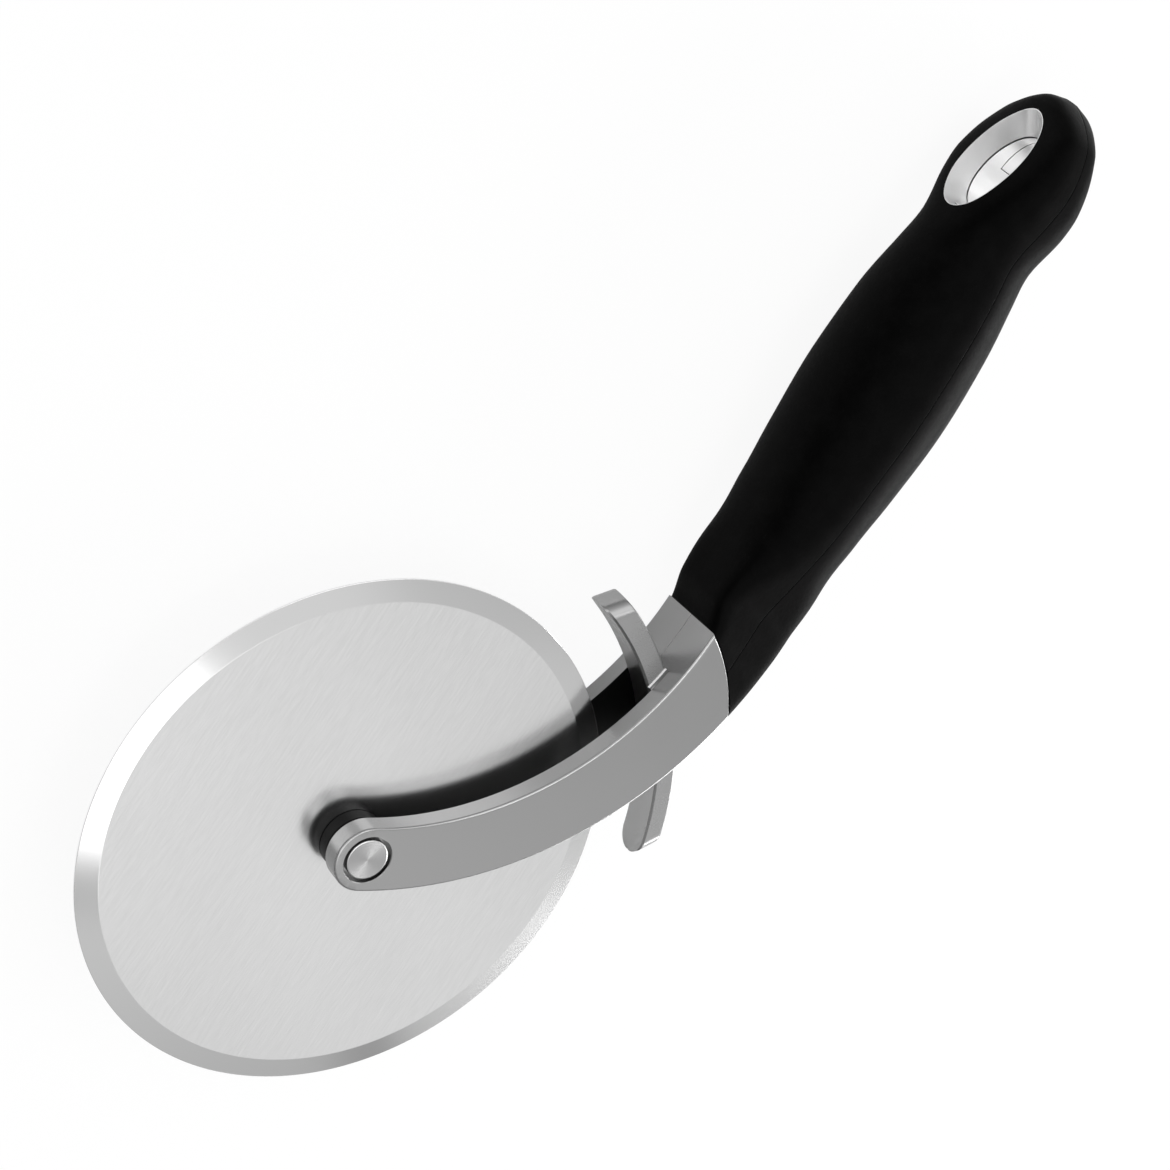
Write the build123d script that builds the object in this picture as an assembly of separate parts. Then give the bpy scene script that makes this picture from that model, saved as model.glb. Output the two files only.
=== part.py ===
from build123d import *
import os
from math import atan2, copysign, cos, degrees, hypot, pi, radians, sin, sqrt

# A pizza cutter lying on its side, in millimetres. While it is modelled, the disc's axle is the Z axis,
# the disc's middle plane is Z = 0 and the handle runs along +X. At the end it is lifted so that the
# flat outer face of the far fork half lies in the plane Z = 0.

# Disc
disc_r = 50.0
disc_thick = 1.6
bevel_width = 4.0
rim_thick = 0.3

# Axle and hub
axle_r = 2.6
running_gap = 0.05
seat_gap = 0.02
bush_wall = 1.35
flange_r = 5.8
flange_thick = 2.8
thrust_gap = 0.1
washer_r = 5.6
washer_thick = 0.8

# Axle heads, sunk in the arms
head_r = 3.92
head_height = 1.86
head_chamfer = 0.25
recess_r = 4.52
recess_depth = 2.0
spigot_r = 1.6
spigot_length = 1.3

# Fork: each edge of an arm is one arc that touches the eye's circle
eye_r = 6.3
arm_thick = 3.8
arm_edge_chamfer = 0.4
upper_edge_centre = (62.4, 23.8)
lower_edge_centre = (65.4, 23.5)

# Joint between the fork's collar and the handle: one arc that bulges towards the handle. Its ends lie on
# the arms' edges, at distances behind the finger guard.
collar_top = 9.5
collar_bottom = 8.65
joint_bulge = 1.15
joint_gap = 0.1
joint_overcut = 6.0

# Finger guard: a strip through the collar. Its inner face is concentric with the disc, and its outer
# face is a circle a little off that centre, so that it is thinner at the lower end.
guard_inner_r = 59.8
guard_thick = 4.2
guard_outer_centre = (1.8, -0.65)
guard_half_width = 3.85
guard_middle_deg = -43.65
guard_half_span_deg = 27.85
guard_slant = 2.2
guard_tip_r = 3.6
guard_corner_r = 0.8
guard_overcut = 9.0

# Tang and the pins that hold it
tang_thick = 3.0
tang_height = 9.0
tang_front = 13.5
tang_length = 78.0
tang_pin_r = 1.5
tang_pin_length = 12.0
tang_pin_places = (20.0, 50.0)
rivet_r = 1.4
rivet_length = 12.0
rivet_places = (-11.4, -7.2)

# Handle: its axis starts below the joint's middle and rises slightly towards the head
handle_length = 113.2
handle_drop = 0.54
handle_tilt_deg = 1.0
swell_half_width = 14.0
grip_wall = 2.6

# Hanging eye through the handle's head
eyelet_from_end = 17.2
eyelet_half_length = 8.2
eyelet_half_width = 6.05
eyelet_wall = 0.6
eyelet_seam_height = 3.9
eyelet_tilt_deg = 13.0
flare_height = 9.0
flare_half_length = 13.7
flare_half_width = 7.1
sleeve_step = 3.0
sleeve_step_place = 0.8

# One overrun for every cut that has to pass right through
overrun = 40.0

# Sizes that follow from the ones above
disc_half = disc_thick / 2
bush_inner_r = axle_r + running_gap
bush_outer_r = bush_inner_r + bush_wall
hub_half = disc_half + flange_thick
washer_inner_z = hub_half + thrust_gap
arm_inner_z = washer_inner_z + washer_thick
fork_half = arm_inner_z + arm_thick
recess_floor_z = fork_half - recess_depth
guard_back_r = guard_inner_r + guard_thick
guard_outer_r = guard_back_r - hypot(*guard_outer_centre)
eyelet_place = handle_length - eyelet_from_end
upper_edge_r = hypot(*upper_edge_centre) - eye_r
lower_edge_r = hypot(*lower_edge_centre) + eye_r

# Cross-sections of the grip from the joint to the head, each a rounded outline between an ellipse and a
# rectangle. Each row is the place along the handle as a share of its length, then the half-width, the
# height above the axis and the height below it as shares of the swell's half-width, and the outline's
# power: 2 is an ellipse, and more is squarer.
grip_section_shares = (
    (0.056, 0.581, 0.732, 0.665, 8.0),
    (0.144, 0.741, 0.755, 0.672, 3.5),
    (0.232, 0.879, 0.819, 0.719, 2.5),
    (0.321, 0.934, 0.924, 0.835, 2.25),
    (0.453, 0.996, 1.024, 0.915, 2.1),
    (0.586, 0.944, 1.010, 0.857, 2.1),
    (0.674, 0.853, 0.910, 0.759, 2.1),
    (0.736, 0.768, 0.814, 0.666, 2.4),
    (0.807, 0.885, 0.728, 0.612, 3.25),
    (0.851, 0.938, 0.637, 0.510, 3.8),
    (0.895, 0.897, 0.539, 0.417, 3.8),
    (0.939, 0.745, 0.451, 0.340, 3.5),
    (0.957, 0.616, 0.428, 0.335, 3.2),
    (0.974, 0.430, 0.415, 0.345, 2.8),
    (0.988, 0.225, 0.335, 0.290, 2.4),
    (0.995, 0.080, 0.130, 0.095, 2.2),
)

# The grip's first sections are as wide as the collar, and reach under it as far as the joint does.
# Each row is the place along the handle, the height above the axis and the height below it, as shares
# of the collar's half-width, and the outline's power.
front_section_shares = (
    (-1.70, 0.93, 0.83, 9.0),
    (-0.85, 0.94, 0.99, 9.0),
    (0.00, 0.96, 1.08, 9.0),
)

# Points of each outline, a number that keeps the corners of the squarest one
section_points = 16


def on_edge(centre, radius, reach):
    """The point of an arm's edge at a distance from the axle, on the edge's lower side."""
    span = hypot(*centre)
    ahead = (reach**2 + span**2 - radius**2) / (2 * span)
    aside = sqrt(reach**2 - ahead**2)
    x, y = along(centre, 1)
    return (ahead * x + aside * y, ahead * y - aside * x)


def along(point, length):
    """The point at a distance from the origin, on the line through another point."""
    scale = length / hypot(*point)
    return (point[0] * scale, point[1] * scale)


def slab(low, high):
    """A block between two corners."""
    size = [h - l for l, h in zip(low, high)]
    middle = [(h + l) / 2 for l, h in zip(low, high)]
    return Pos(*middle) * Box(*size)


def rod(radius, low_z, high_z):
    """A round bar along the axle, between two heights."""
    return Pos(0, 0, (low_z + high_z) / 2) * Cylinder(radius, high_z - low_z)


def ring(inner_r, outer_r, low_z, high_z):
    """A round sleeve along the axle, between two heights."""
    return rod(outer_r, low_z, high_z) - rod(inner_r, low_z, high_z)


# Joint line, from the collar's top corner to its bottom corner
joint_top_reach = guard_back_r + collar_top
joint_bottom_reach = guard_back_r + collar_bottom
joint_top = on_edge(upper_edge_centre, upper_edge_r, joint_top_reach)
joint_bottom = on_edge(lower_edge_centre, lower_edge_r, joint_bottom_reach)
joint_chord = hypot(joint_top[0] - joint_bottom[0], joint_top[1] - joint_bottom[1])
joint_out = (
    (joint_top[1] - joint_bottom[1]) / joint_chord,
    (joint_bottom[0] - joint_top[0]) / joint_chord,
)
joint_middle = tuple(
    (a + b) / 2 + joint_bulge * n for a, b, n in zip(joint_top, joint_bottom, joint_out)
)
joint_r = (joint_chord**2 / 4 + joint_bulge**2) / (2 * joint_bulge)
joint_centre = tuple(m - joint_r * n for m, n in zip(joint_middle, joint_out))

# Frame of the handle: X along its axis, Y up through the hanging eye
handle_frame = Plane(
    origin=(joint_top[0], (joint_top[1] + joint_bottom[1]) / 2 - handle_drop, 0),
    x_dir=(cos(radians(handle_tilt_deg)), sin(radians(handle_tilt_deg)), 0),
    z_dir=(0, 0, 1),
)
parting_plane = Plane(
    origin=handle_frame.origin,
    z_dir=handle_frame.y_dir,
)


def cross_pin(radius, length, place):
    """A round pin across the handle, through its axis."""
    return handle_frame * (Pos(place, 0, 0) * Cylinder(radius, length))


def tang_bar(extra=0.0):
    """The flat bar that joins collar and handle, enlarged for its pocket."""
    return handle_frame * slab(
        (-tang_front - extra, -tang_height / 2 - extra, -tang_thick / 2 - extra),
        (tang_length - tang_front + extra, tang_height / 2 + extra, tang_thick / 2 + extra),
    )


def cutting_disc():
    """Flat disc with a bevel on both sides of its rim."""
    bore_r = bush_outer_r + seat_gap
    flat_r = disc_r - bevel_width
    half_rim = rim_thick / 2
    outline = Polyline(
        (bore_r, -disc_half),
        (flat_r, -disc_half),
        (disc_r, -half_rim),
        (disc_r, half_rim),
        (flat_r, disc_half),
        (bore_r, disc_half),
        close=True,
    )
    return revolve(Plane.XZ * make_face(outline), Axis.Z)


def hub_bush():
    """Sleeve that runs on the axle and carries disc and flanges."""
    return ring(bush_inner_r, bush_outer_r, -hub_half, hub_half)


def hub_flange():
    """Flange that holds the disc square, on the near side."""
    return ring(bush_outer_r + seat_gap, flange_r, disc_half, hub_half)


def thrust_washer():
    """Washer between the near flange and its arm."""
    return ring(axle_r + seat_gap, washer_r, washer_inner_z, arm_inner_z)


def axle_head():
    """Sunk round head with a small chamfer, on the near side."""
    head = rod(head_r, recess_floor_z, recess_floor_z + head_height)
    return chamfer(head.edges().group_by(Axis.Z)[-1], head_chamfer)


def axle_pin():
    """Near head, shank, and a spigot that holds the far cap."""
    shank = rod(axle_r, -recess_floor_z, recess_floor_z)
    spigot = rod(spigot_r, -recess_floor_z - spigot_length, -recess_floor_z)
    return axle_head() + shank + spigot


def axle_cap():
    """Far head, bored for the pin's spigot."""
    cap = mirror(axle_head(), about=Plane.XY)
    depth = spigot_length + seat_gap
    return cap - rod(spigot_r + seat_gap, -recess_floor_z - depth, -recess_floor_z)


def joint_side(extra=0.0):
    """Everything on the fork's side of the joint, and a gap more."""
    return Pos(joint_centre[0], joint_centre[1], 0) * Cylinder(joint_r + extra, 2 * overrun)


def fork_outline():
    """Side view of a fork half: eye and two arcs, drawn past the joint with the handle."""
    upper_touch = along(upper_edge_centre, eye_r)
    lower_touch = along(lower_edge_centre, -eye_r)
    eye_start = degrees(atan2(upper_touch[1], upper_touch[0]))
    eye_end = degrees(atan2(-lower_touch[1], -lower_touch[0])) + 180
    half_turn = radians((eye_start + eye_end) / 2)
    eye_far = (eye_r * cos(half_turn), eye_r * sin(half_turn))
    upper_end = on_edge(upper_edge_centre, upper_edge_r, joint_top_reach + joint_overcut)
    lower_end = on_edge(lower_edge_centre, lower_edge_r, joint_bottom_reach + joint_overcut)
    upper_middle = arc_middle(upper_touch, upper_end, upper_edge_centre, upper_edge_r)
    lower_middle = arc_middle(lower_touch, lower_end, lower_edge_centre, lower_edge_r)
    edges = [
        ThreePointArc(upper_touch, eye_far, lower_touch),
        ThreePointArc(lower_touch, lower_middle, lower_end),
        Line(lower_end, upper_end),
        ThreePointArc(upper_touch, upper_middle, upper_end),
    ]
    return make_face(edges)


def arc_middle(start, end, centre, radius):
    """The point of an arc halfway between its ends."""
    mid = ((start[0] + end[0]) / 2 - centre[0], (start[1] + end[1]) / 2 - centre[1])
    out = along(mid, radius)
    return (centre[0] + out[0], centre[1] + out[1])


def fork_half_solid():
    """Near half of the fork: arm with its eye, half of the collar, and the pockets in it."""
    half = extrude(fork_outline(), fork_half)
    outer_edges = half.edges().group_by(Axis.Z)[-1].filter_by(GeomType.CIRCLE)
    half = chamfer(outer_edges, arm_edge_chamfer)
    half &= joint_side()
    half -= rod(guard_inner_r, -overrun, arm_inner_z)
    half -= guard_band(seat_gap)
    half -= rod(axle_r + seat_gap, 0, overrun)
    half -= rod(recess_r, recess_floor_z, overrun)
    half -= tang_bar(seat_gap)
    for place in rivet_places:
        half -= cross_pin(rivet_r + seat_gap, rivet_length + seat_gap, place)
    return half


def guard_band(extra=0.0):
    """The whole ring that the finger guard is cut from, enlarged for its pocket."""
    half_width = guard_half_width + extra
    outer = Pos(*guard_outer_centre, 0) * rod(guard_outer_r + extra, -half_width, half_width)
    return outer - rod(guard_inner_r - extra, -overrun, overrun)


def guard_end(angle_deg, slant):
    """A line across one end of the guard, through its inner corner and beyond both faces."""
    angle = radians(angle_deg)
    turned = angle + slant / guard_back_r
    corner = (guard_inner_r * cos(angle), guard_inner_r * sin(angle))
    across = (guard_back_r * cos(turned) - corner[0], guard_back_r * sin(turned) - corner[1])
    step = along(across, guard_overcut)
    return [(corner[0] + side * step[0], corner[1] + side * step[1]) for side in (-1, 1)]


def guard_sector():
    """A prism as long as the guard, with its slanted ends and as wide as the guard."""
    upper = guard_end(guard_middle_deg + guard_half_span_deg, -guard_slant)
    lower = guard_end(guard_middle_deg - guard_half_span_deg, guard_slant)
    middle = radians(guard_middle_deg)
    far_r = guard_back_r + overrun
    far = (far_r * cos(middle), far_r * sin(middle))
    outline = Polyline(*upper, far, *reversed(lower), close=True)
    return extrude(make_face(outline), guard_half_width, both=True)


def off_corner(edge):
    """How much nearer to the axle or farther an edge lies than the guard's inner corners."""
    return abs(hypot(edge.center().X, edge.center().Y) - guard_inner_r)


def finger_guard():
    """Curved strip with slanted, tongue-shaped ends and rounded outer corners."""
    sector = guard_sector()
    strip = guard_band() & sector
    corners = strip.edges().filter_by(Axis.Z).sort_by(lambda e: hypot(e.center().X, e.center().Y))
    strip = fillet(corners[-2:], guard_corner_r)
    level = [e for e in sector.edges() if abs(e.tangent_at(0).Z) < 1 / 2]
    ends = sorted(level, key=off_corner)[:4]
    return strip & fillet(ends, guard_tip_r)


def grip_section(place, half_width, above, below, power):
    """One cross-section of the handle, in the handle's frame."""
    points = []
    for step in range(section_points):
        turn = 2 * pi * step / section_points
        up = copysign(abs(cos(turn)) ** (2 / power), cos(turn))
        side = copysign(abs(sin(turn)) ** (2 / power), sin(turn))
        height = above if up > 0 else below
        points.append((up * height, side * half_width))
    plane = Plane(origin=(place, 0, 0), x_dir=(0, 1, 0), z_dir=(1, 0, 0))
    return plane * make_face(Spline(points, periodic=True))


def handle_body(inset=0.0):
    """The handle's outer form, or the same form drawn in by a wall."""
    sections = []
    for place, above, below, power in front_section_shares:
        heights = (above * fork_half - inset, below * fork_half - inset)
        sections.append(grip_section(place * fork_half, fork_half - inset, *heights, power))
    for place, width, above, below, power in grip_section_shares:
        sizes = [share * swell_half_width for share in (width, above, below)]
        reach = place * handle_length
        if reach < eyelet_place:
            sizes = [size - inset for size in sizes]
        else:
            reach -= inset * place
            sizes = [size * (1 - inset / swell_half_width) for size in sizes]
        sections.append(grip_section(reach, *sizes, power))
    return handle_frame * loft(sections)


def seam_cut():
    """Everything above the plane where the upper flare meets the sleeve, in the handle's frame."""
    block = slab((-overrun, 0, -overrun), (overrun, overrun, overrun))
    return seam_location() * block


def seam_location():
    """The seam of the upper flare: its middle, and its turn down towards the head."""
    return Pos(eyelet_place, eyelet_seam_height, 0) * Rot(0, 0, -eyelet_tilt_deg)


def flare_form(extra=0.0):
    """The opening of the upper flare, enlarged by a wall: it widens from the seam outwards."""
    seam_length = (eyelet_half_length + extra) / cos(radians(eyelet_tilt_deg))
    seam = Ellipse(seam_length, eyelet_half_width + extra)
    mouth = Ellipse(flare_half_length + extra, flare_half_width + extra)
    form = loft([seam, Pos(0, 0, flare_height) * mouth], ruled=True)
    return seam_location() * Rot(-90, 0, 0) * form


def sleeve_form(extra=0.0):
    """The opening of the sleeve between the two seams, enlarged by a wall."""
    section = Ellipse(eyelet_half_length + extra, eyelet_half_width + extra)
    form = Pos(eyelet_place, 0, 0) * Rot(90, 0, 0) * extrude(section, flare_height, both=True)
    above = seam_cut()
    return form - above - mirror(above, about=Plane.XZ)


def eye_void(extra=0.0):
    """The whole opening of the hanging eye, enlarged by a wall."""
    flare = flare_form(extra)
    return handle_frame * (sleeve_form(extra) + flare + mirror(flare, about=Plane.XZ))


def step_cut():
    """Everything above the stepped line that splits the sleeve."""
    head_side = slab((0, 0, -overrun), (overrun, overrun, overrun))
    waist_side = slab((-overrun, -sleeve_step, -overrun), (0, overrun, overrun))
    return handle_frame * Pos(eyelet_place + sleeve_step_place, 0, 0) * (head_side + waist_side)


def build():
    """Every node of the cutter, by name, with the disc's middle plane at Z = 0."""
    near_half = fork_half_solid()
    flange = hub_flange()
    washer = thrust_washer()
    nodes = {
        "cutting_disc": cutting_disc(),
        "hub_bush": hub_bush(),
        "hub_flange_near": flange,
        "hub_flange_far": mirror(flange, about=Plane.XY),
        "thrust_washer_near": washer,
        "thrust_washer_far": mirror(washer, about=Plane.XY),
        "axle_pin": axle_pin(),
        "axle_cap": axle_cap(),
        "fork_near_half": near_half,
        "fork_far_half": mirror(near_half, about=Plane.XY),
        "finger_guard": finger_guard(),
        "tang": tang_bar(),
    }
    for place in rivet_places:
        nodes["tang"] -= cross_pin(rivet_r + seat_gap, overrun, place)
    for place in tang_pin_places:
        nodes["tang"] -= cross_pin(tang_pin_r + seat_gap, overrun, place)
    nodes["fork_rivets"] = [cross_pin(rivet_r, rivet_length, p) for p in rivet_places]
    nodes["tang_pins"] = [cross_pin(tang_pin_r, tang_pin_length, p) for p in tang_pin_places]

    outer = handle_body()
    core = handle_body(grip_wall)
    front = joint_side(joint_gap)
    liner_space = eye_void(eyelet_wall + seat_gap)
    skin = outer - core - front - liner_space
    core = core - front - liner_space - tang_bar(seat_gap)
    for place in tang_pin_places:
        core -= cross_pin(tang_pin_r + seat_gap, tang_pin_length + seat_gap, place)
    for name, body in (("grip", skin), ("core", core)):
        nodes[name + "_upper"] = split(body, bisect_by=parting_plane, keep=Keep.TOP)
        nodes[name + "_lower"] = split(body, bisect_by=parting_plane, keep=Keep.BOTTOM)

    flare = flare_form(eyelet_wall) - flare_form()
    sleeve = sleeve_form(eyelet_wall) - sleeve_form()
    nodes["eyelet_flare_upper"] = (handle_frame * flare) & outer
    nodes["eyelet_flare_lower"] = (handle_frame * mirror(flare, about=Plane.XZ)) & outer
    nodes["eyelet_sleeve_upper"] = handle_frame * sleeve & step_cut()
    nodes["eyelet_sleeve_lower"] = handle_frame * sleeve - step_cut()
    return nodes


os.makedirs("parts", exist_ok=True)
lift = Pos(0, 0, fork_half)
for node_name, shape in build().items():
    pieces = shape if isinstance(shape, list) else [shape]
    solids = [solid for piece in pieces for solid in piece.solids()]
    export_step(Compound([lift * solid for solid in solids]), f"parts/{node_name}.step")
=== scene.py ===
"""Looks of a pizza cutter: a steel disc in a curved fork, a finger guard and a soft black handle.

Lengths in the classes are millimetres around the disc's centre: the axle is the Z axis, the disc's
middle plane is z = 0 and the handle runs along +X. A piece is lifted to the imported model's frame and
turned to metres when it is finished.
"""

import logging
import math
from collections.abc import Iterable
from dataclasses import dataclass
from enum import Enum

import bmesh
import bpy
from mathutils import Matrix, Vector

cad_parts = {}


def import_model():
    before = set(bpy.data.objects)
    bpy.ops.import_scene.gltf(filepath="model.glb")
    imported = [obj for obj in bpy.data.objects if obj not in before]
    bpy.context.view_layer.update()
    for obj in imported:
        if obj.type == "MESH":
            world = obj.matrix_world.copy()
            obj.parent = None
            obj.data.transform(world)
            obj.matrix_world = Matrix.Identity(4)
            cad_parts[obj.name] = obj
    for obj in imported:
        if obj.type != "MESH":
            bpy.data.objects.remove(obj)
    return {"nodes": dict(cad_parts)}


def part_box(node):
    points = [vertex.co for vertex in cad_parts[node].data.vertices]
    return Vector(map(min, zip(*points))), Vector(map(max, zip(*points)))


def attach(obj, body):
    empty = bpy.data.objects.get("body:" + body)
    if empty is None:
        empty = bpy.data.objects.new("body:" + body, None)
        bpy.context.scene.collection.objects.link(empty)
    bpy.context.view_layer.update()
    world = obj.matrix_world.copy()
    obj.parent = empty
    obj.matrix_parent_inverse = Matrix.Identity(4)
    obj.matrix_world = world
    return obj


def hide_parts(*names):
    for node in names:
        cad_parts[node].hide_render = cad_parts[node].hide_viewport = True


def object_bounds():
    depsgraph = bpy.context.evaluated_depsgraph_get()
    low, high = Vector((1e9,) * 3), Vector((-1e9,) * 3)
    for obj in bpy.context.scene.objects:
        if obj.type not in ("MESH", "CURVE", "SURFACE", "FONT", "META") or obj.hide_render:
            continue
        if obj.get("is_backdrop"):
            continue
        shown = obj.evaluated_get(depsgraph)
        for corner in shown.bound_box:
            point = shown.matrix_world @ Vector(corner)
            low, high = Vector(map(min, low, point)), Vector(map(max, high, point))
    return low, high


logging.basicConfig(level=logging.INFO, format="%(name)s: %(message)s")
LOG = logging.getLogger("pizza_cutter")

MM = 0.001
AXLE = Vector((0.0, 0.0, 1.0))
MERGE_DISTANCE = 0.002
SHARP_ANGLE_DEG = 32.0
ORIGIN = Vector((0.0, 0.0, 0.0))
RING_SEGMENTS = 96
DISC_SEGMENTS = 288
FAR_OFF = 40.0
WHITE = (1.0, 1.0, 1.0, 1.0)
SHADING_WEIGHT = 60
FLOOR_GAP = 0.0005

BMVert = bmesh.types.BMVert
Loop = list[BMVert]
Socket = bpy.types.NodeSocket
Triple = tuple[float, float, float]


class Body(Enum):
    """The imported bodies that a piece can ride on."""

    FRAME = "frame"
    WHEEL = "wheel"


class Side(Enum):
    """The two sides of the disc: the photograph looks at the near one."""

    NEAR = 1
    FAR = -1


class Cut(Enum):
    """What a cutting shape does: takes its own room away, or leaves only what lies inside it."""

    AWAY = "DIFFERENCE"
    INSIDE = "INTERSECT"


# Shaping


def spread(low: float, high: float, count: int) -> list[float]:
    """Evenly spaced values from low to high, both included."""
    return [low + (high - low) * i / (count - 1) for i in range(count)]


def circles_meet(c1: Vector, r1: float, c2: Vector, r2: float) -> Vector:
    """Finds where two circles cross, on the right of the line from the first centre to the second.

    Args:
        c1: centre of the first circle.
        r1: radius of the first circle.
        c2: centre of the second circle.
        r2: radius of the second circle.

    Returns:
        The crossing point, with z = 0.
    """
    line = c2 - c1
    span = line.length
    ahead = (span**2 + r1**2 - r2**2) / (2 * span)
    aside = math.sqrt(max(r1**2 - ahead**2, 0.0))
    unit = line / span
    return c1 + unit * ahead + Vector((unit.y, -unit.x, 0.0)) * aside


def turn_between(centre: Vector, start: Vector, end: Vector) -> float:
    """The shorter signed turn about a centre from one point to another, in radians.

    Args:
        centre: the centre of the turn.
        start: the point where it starts.
        end: a point in the direction where it ends.

    Returns:
        The turn, positive from +X to +Y.
    """
    a, b = start - centre, end - centre
    turn = math.atan2(b.y, b.x) - math.atan2(a.y, a.x)
    return (turn + math.pi) % (2 * math.pi) - math.pi


class Shape:
    """A mesh under construction, in millimetres around the disc's centre."""

    def __init__(self) -> None:
        """Starts an empty mesh."""
        self.bm = bmesh.new()

    def start(self, point: Vector) -> BMVert:
        """Adds one vertex."""
        return bmesh.ops.create_vert(self.bm, co=point)["vert"][0]

    def loop(self, points: Iterable[Vector]) -> Loop:
        """Adds a closed loop of edges through points.

        Args:
            points: where its corners lie.

        Returns:
            The loop's vertices, in the points' order.
        """
        verts = [self.start(point) for point in points]
        for pair in zip(verts, verts[1:] + verts[:1]):
            self.bm.edges.new(pair)
        return verts

    def swing(self, vert: BMVert, centre: Vector, angle: float, steps: int) -> Loop:
        """Swings a vertex about a centre, and leaves an arc of edges behind it.

        Args:
            vert: the vertex where the arc starts.
            centre: the centre of the arc.
            angle: the signed turn about +Z, in radians.
            steps: how many edges the arc has.

        Returns:
            The new vertices in order, without the first.
        """
        known = set(self.bm.verts)
        bmesh.ops.spin(
            self.bm, geom=[vert], cent=centre, axis=AXLE, angle=angle, steps=steps, use_merge=False
        )
        return self.walk(vert, set(self.bm.verts) - known)

    def walk(self, vert: BMVert, members: set[BMVert]) -> Loop:
        """Follows the edges from a vertex through a set of others.

        Args:
            vert: where the walk starts.
            members: the vertices that it may visit, which are used up.

        Returns:
            The vertices visited, in order, without the first.
        """
        chain = []
        while vert is not None:
            ahead = (edge.other_vert(vert) for edge in vert.link_edges)
            vert = next((other for other in ahead if other in members), None)
            if vert is not None:
                members.discard(vert)
                chain.append(vert)
        return chain

    def edges_of(self, verts: Loop) -> list[bmesh.types.BMEdge]:
        """The edges of a closed loop of vertices, in order."""
        return [self.bm.edges.get(pair) for pair in zip(verts, verts[1:] + verts[:1])]

    def closed(self, verts: Loop) -> Loop:
        """Welds the last vertex of a chain to its first, and gives the loop."""
        bmesh.ops.weld_verts(self.bm, targetmap={verts[-1]: verts[0]})
        return verts[:-1]

    def circle(self, radius: float, z: float, segments: int) -> Loop:
        """A loop of edges round the axle, in order from +X to +Y.

        Args:
            radius: of the loop.
            z: its height.
            segments: how many edges it has.

        Returns:
            The loop's vertices.
        """
        made = bmesh.ops.create_circle(self.bm, cap_ends=False, segments=segments, radius=radius)
        verts = made["verts"]
        bmesh.ops.translate(self.bm, verts=verts, vec=(0.0, 0.0, z))
        first = max(verts, key=lambda v: v.co.x)
        chain = self.walk(first, set(verts) - {first})
        if chain[0].co.y < first.co.y:
            chain.reverse()
        return [first] + chain

    def bridge(self, *loops: Loop) -> None:
        """Joins each loop to the next one with a band of faces, vertex to vertex in their order.

        Args:
            *loops: two or more loops with as many vertices each.
        """
        for one, other in zip(loops, loops[1:]):
            made = bmesh.ops.extrude_edge_only(self.bm, edges=self.edges_of(one))
            fresh = {v for v in made["geom"] if isinstance(v, BMVert)}
            pairs = {}
            for vert, target in zip(one, other):
                twins = (edge.other_vert(vert) for edge in vert.link_edges)
                pairs[next(twin for twin in twins if twin in fresh)] = target
            bmesh.ops.weld_verts(self.bm, targetmap=pairs)

    def cover(self, *loops: Loop) -> None:
        """Fills a flat region between an outer loop and any loops inside it."""
        edges = [edge for loop in loops for edge in self.edges_of(loop)]
        bmesh.ops.triangle_fill(self.bm, edges=edges, use_beauty=True, use_dissolve=False)

    def close_level(self, z: float) -> None:
        """Fills the open edges that lie at one height.

        Args:
            z: the height.
        """
        near = 10 * MERGE_DISTANCE
        rims = [e for e in self.bm.edges if e.is_boundary]
        edges = [e for e in rims if all(abs(v.co.z - z) < near for v in e.verts)]
        bmesh.ops.triangle_fill(self.bm, edges=edges, use_beauty=True, use_dissolve=False)

    def merge(self) -> None:
        """Welds the vertices that lie on each other."""
        bmesh.ops.remove_doubles(self.bm, verts=self.bm.verts[:], dist=MERGE_DISTANCE)

    def outwards(self) -> None:
        """Turns every face outwards."""
        bmesh.ops.recalc_face_normals(self.bm, faces=self.bm.faces[:])

    def place(self, matrix: Matrix) -> None:
        """Moves the whole mesh."""
        bmesh.ops.transform(self.bm, matrix=matrix, verts=self.bm.verts[:])

    def spin(self, geom: list, angle: float, steps: int, merge: bool) -> None:
        """Turns vertices and edges round the axle, and leaves faces behind them.

        Args:
            geom: the vertices and edges.
            angle: of the turn, in radians.
            steps: how many facets it has.
            merge: whether the end is joined to the start.
        """
        bmesh.ops.spin(
            self.bm, geom=geom, cent=ORIGIN, axis=AXLE, angle=angle, steps=steps, use_merge=merge
        )

    def lathe(self, profile: list[tuple[float, float]], segments: int = RING_SEGMENTS) -> None:
        """Turns a profile round the axle.

        Args:
            profile: (radius, z) of each corner, as one closed or axis-to-axis line.
            segments: how many facets the turn has.
        """
        verts = [self.start(Vector((r, 0.0, z))) for r, z in profile]
        edges = [self.bm.edges.new(pair) for pair in zip(verts, verts[1:])]
        if profile[0][0] > 0 and profile[-1][0] > 0:
            edges.append(self.bm.edges.new((verts[-1], verts[0])))
        self.spin(verts + edges, 2 * math.pi, segments, merge=True)
        self.merge()
        self.outwards()


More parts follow.
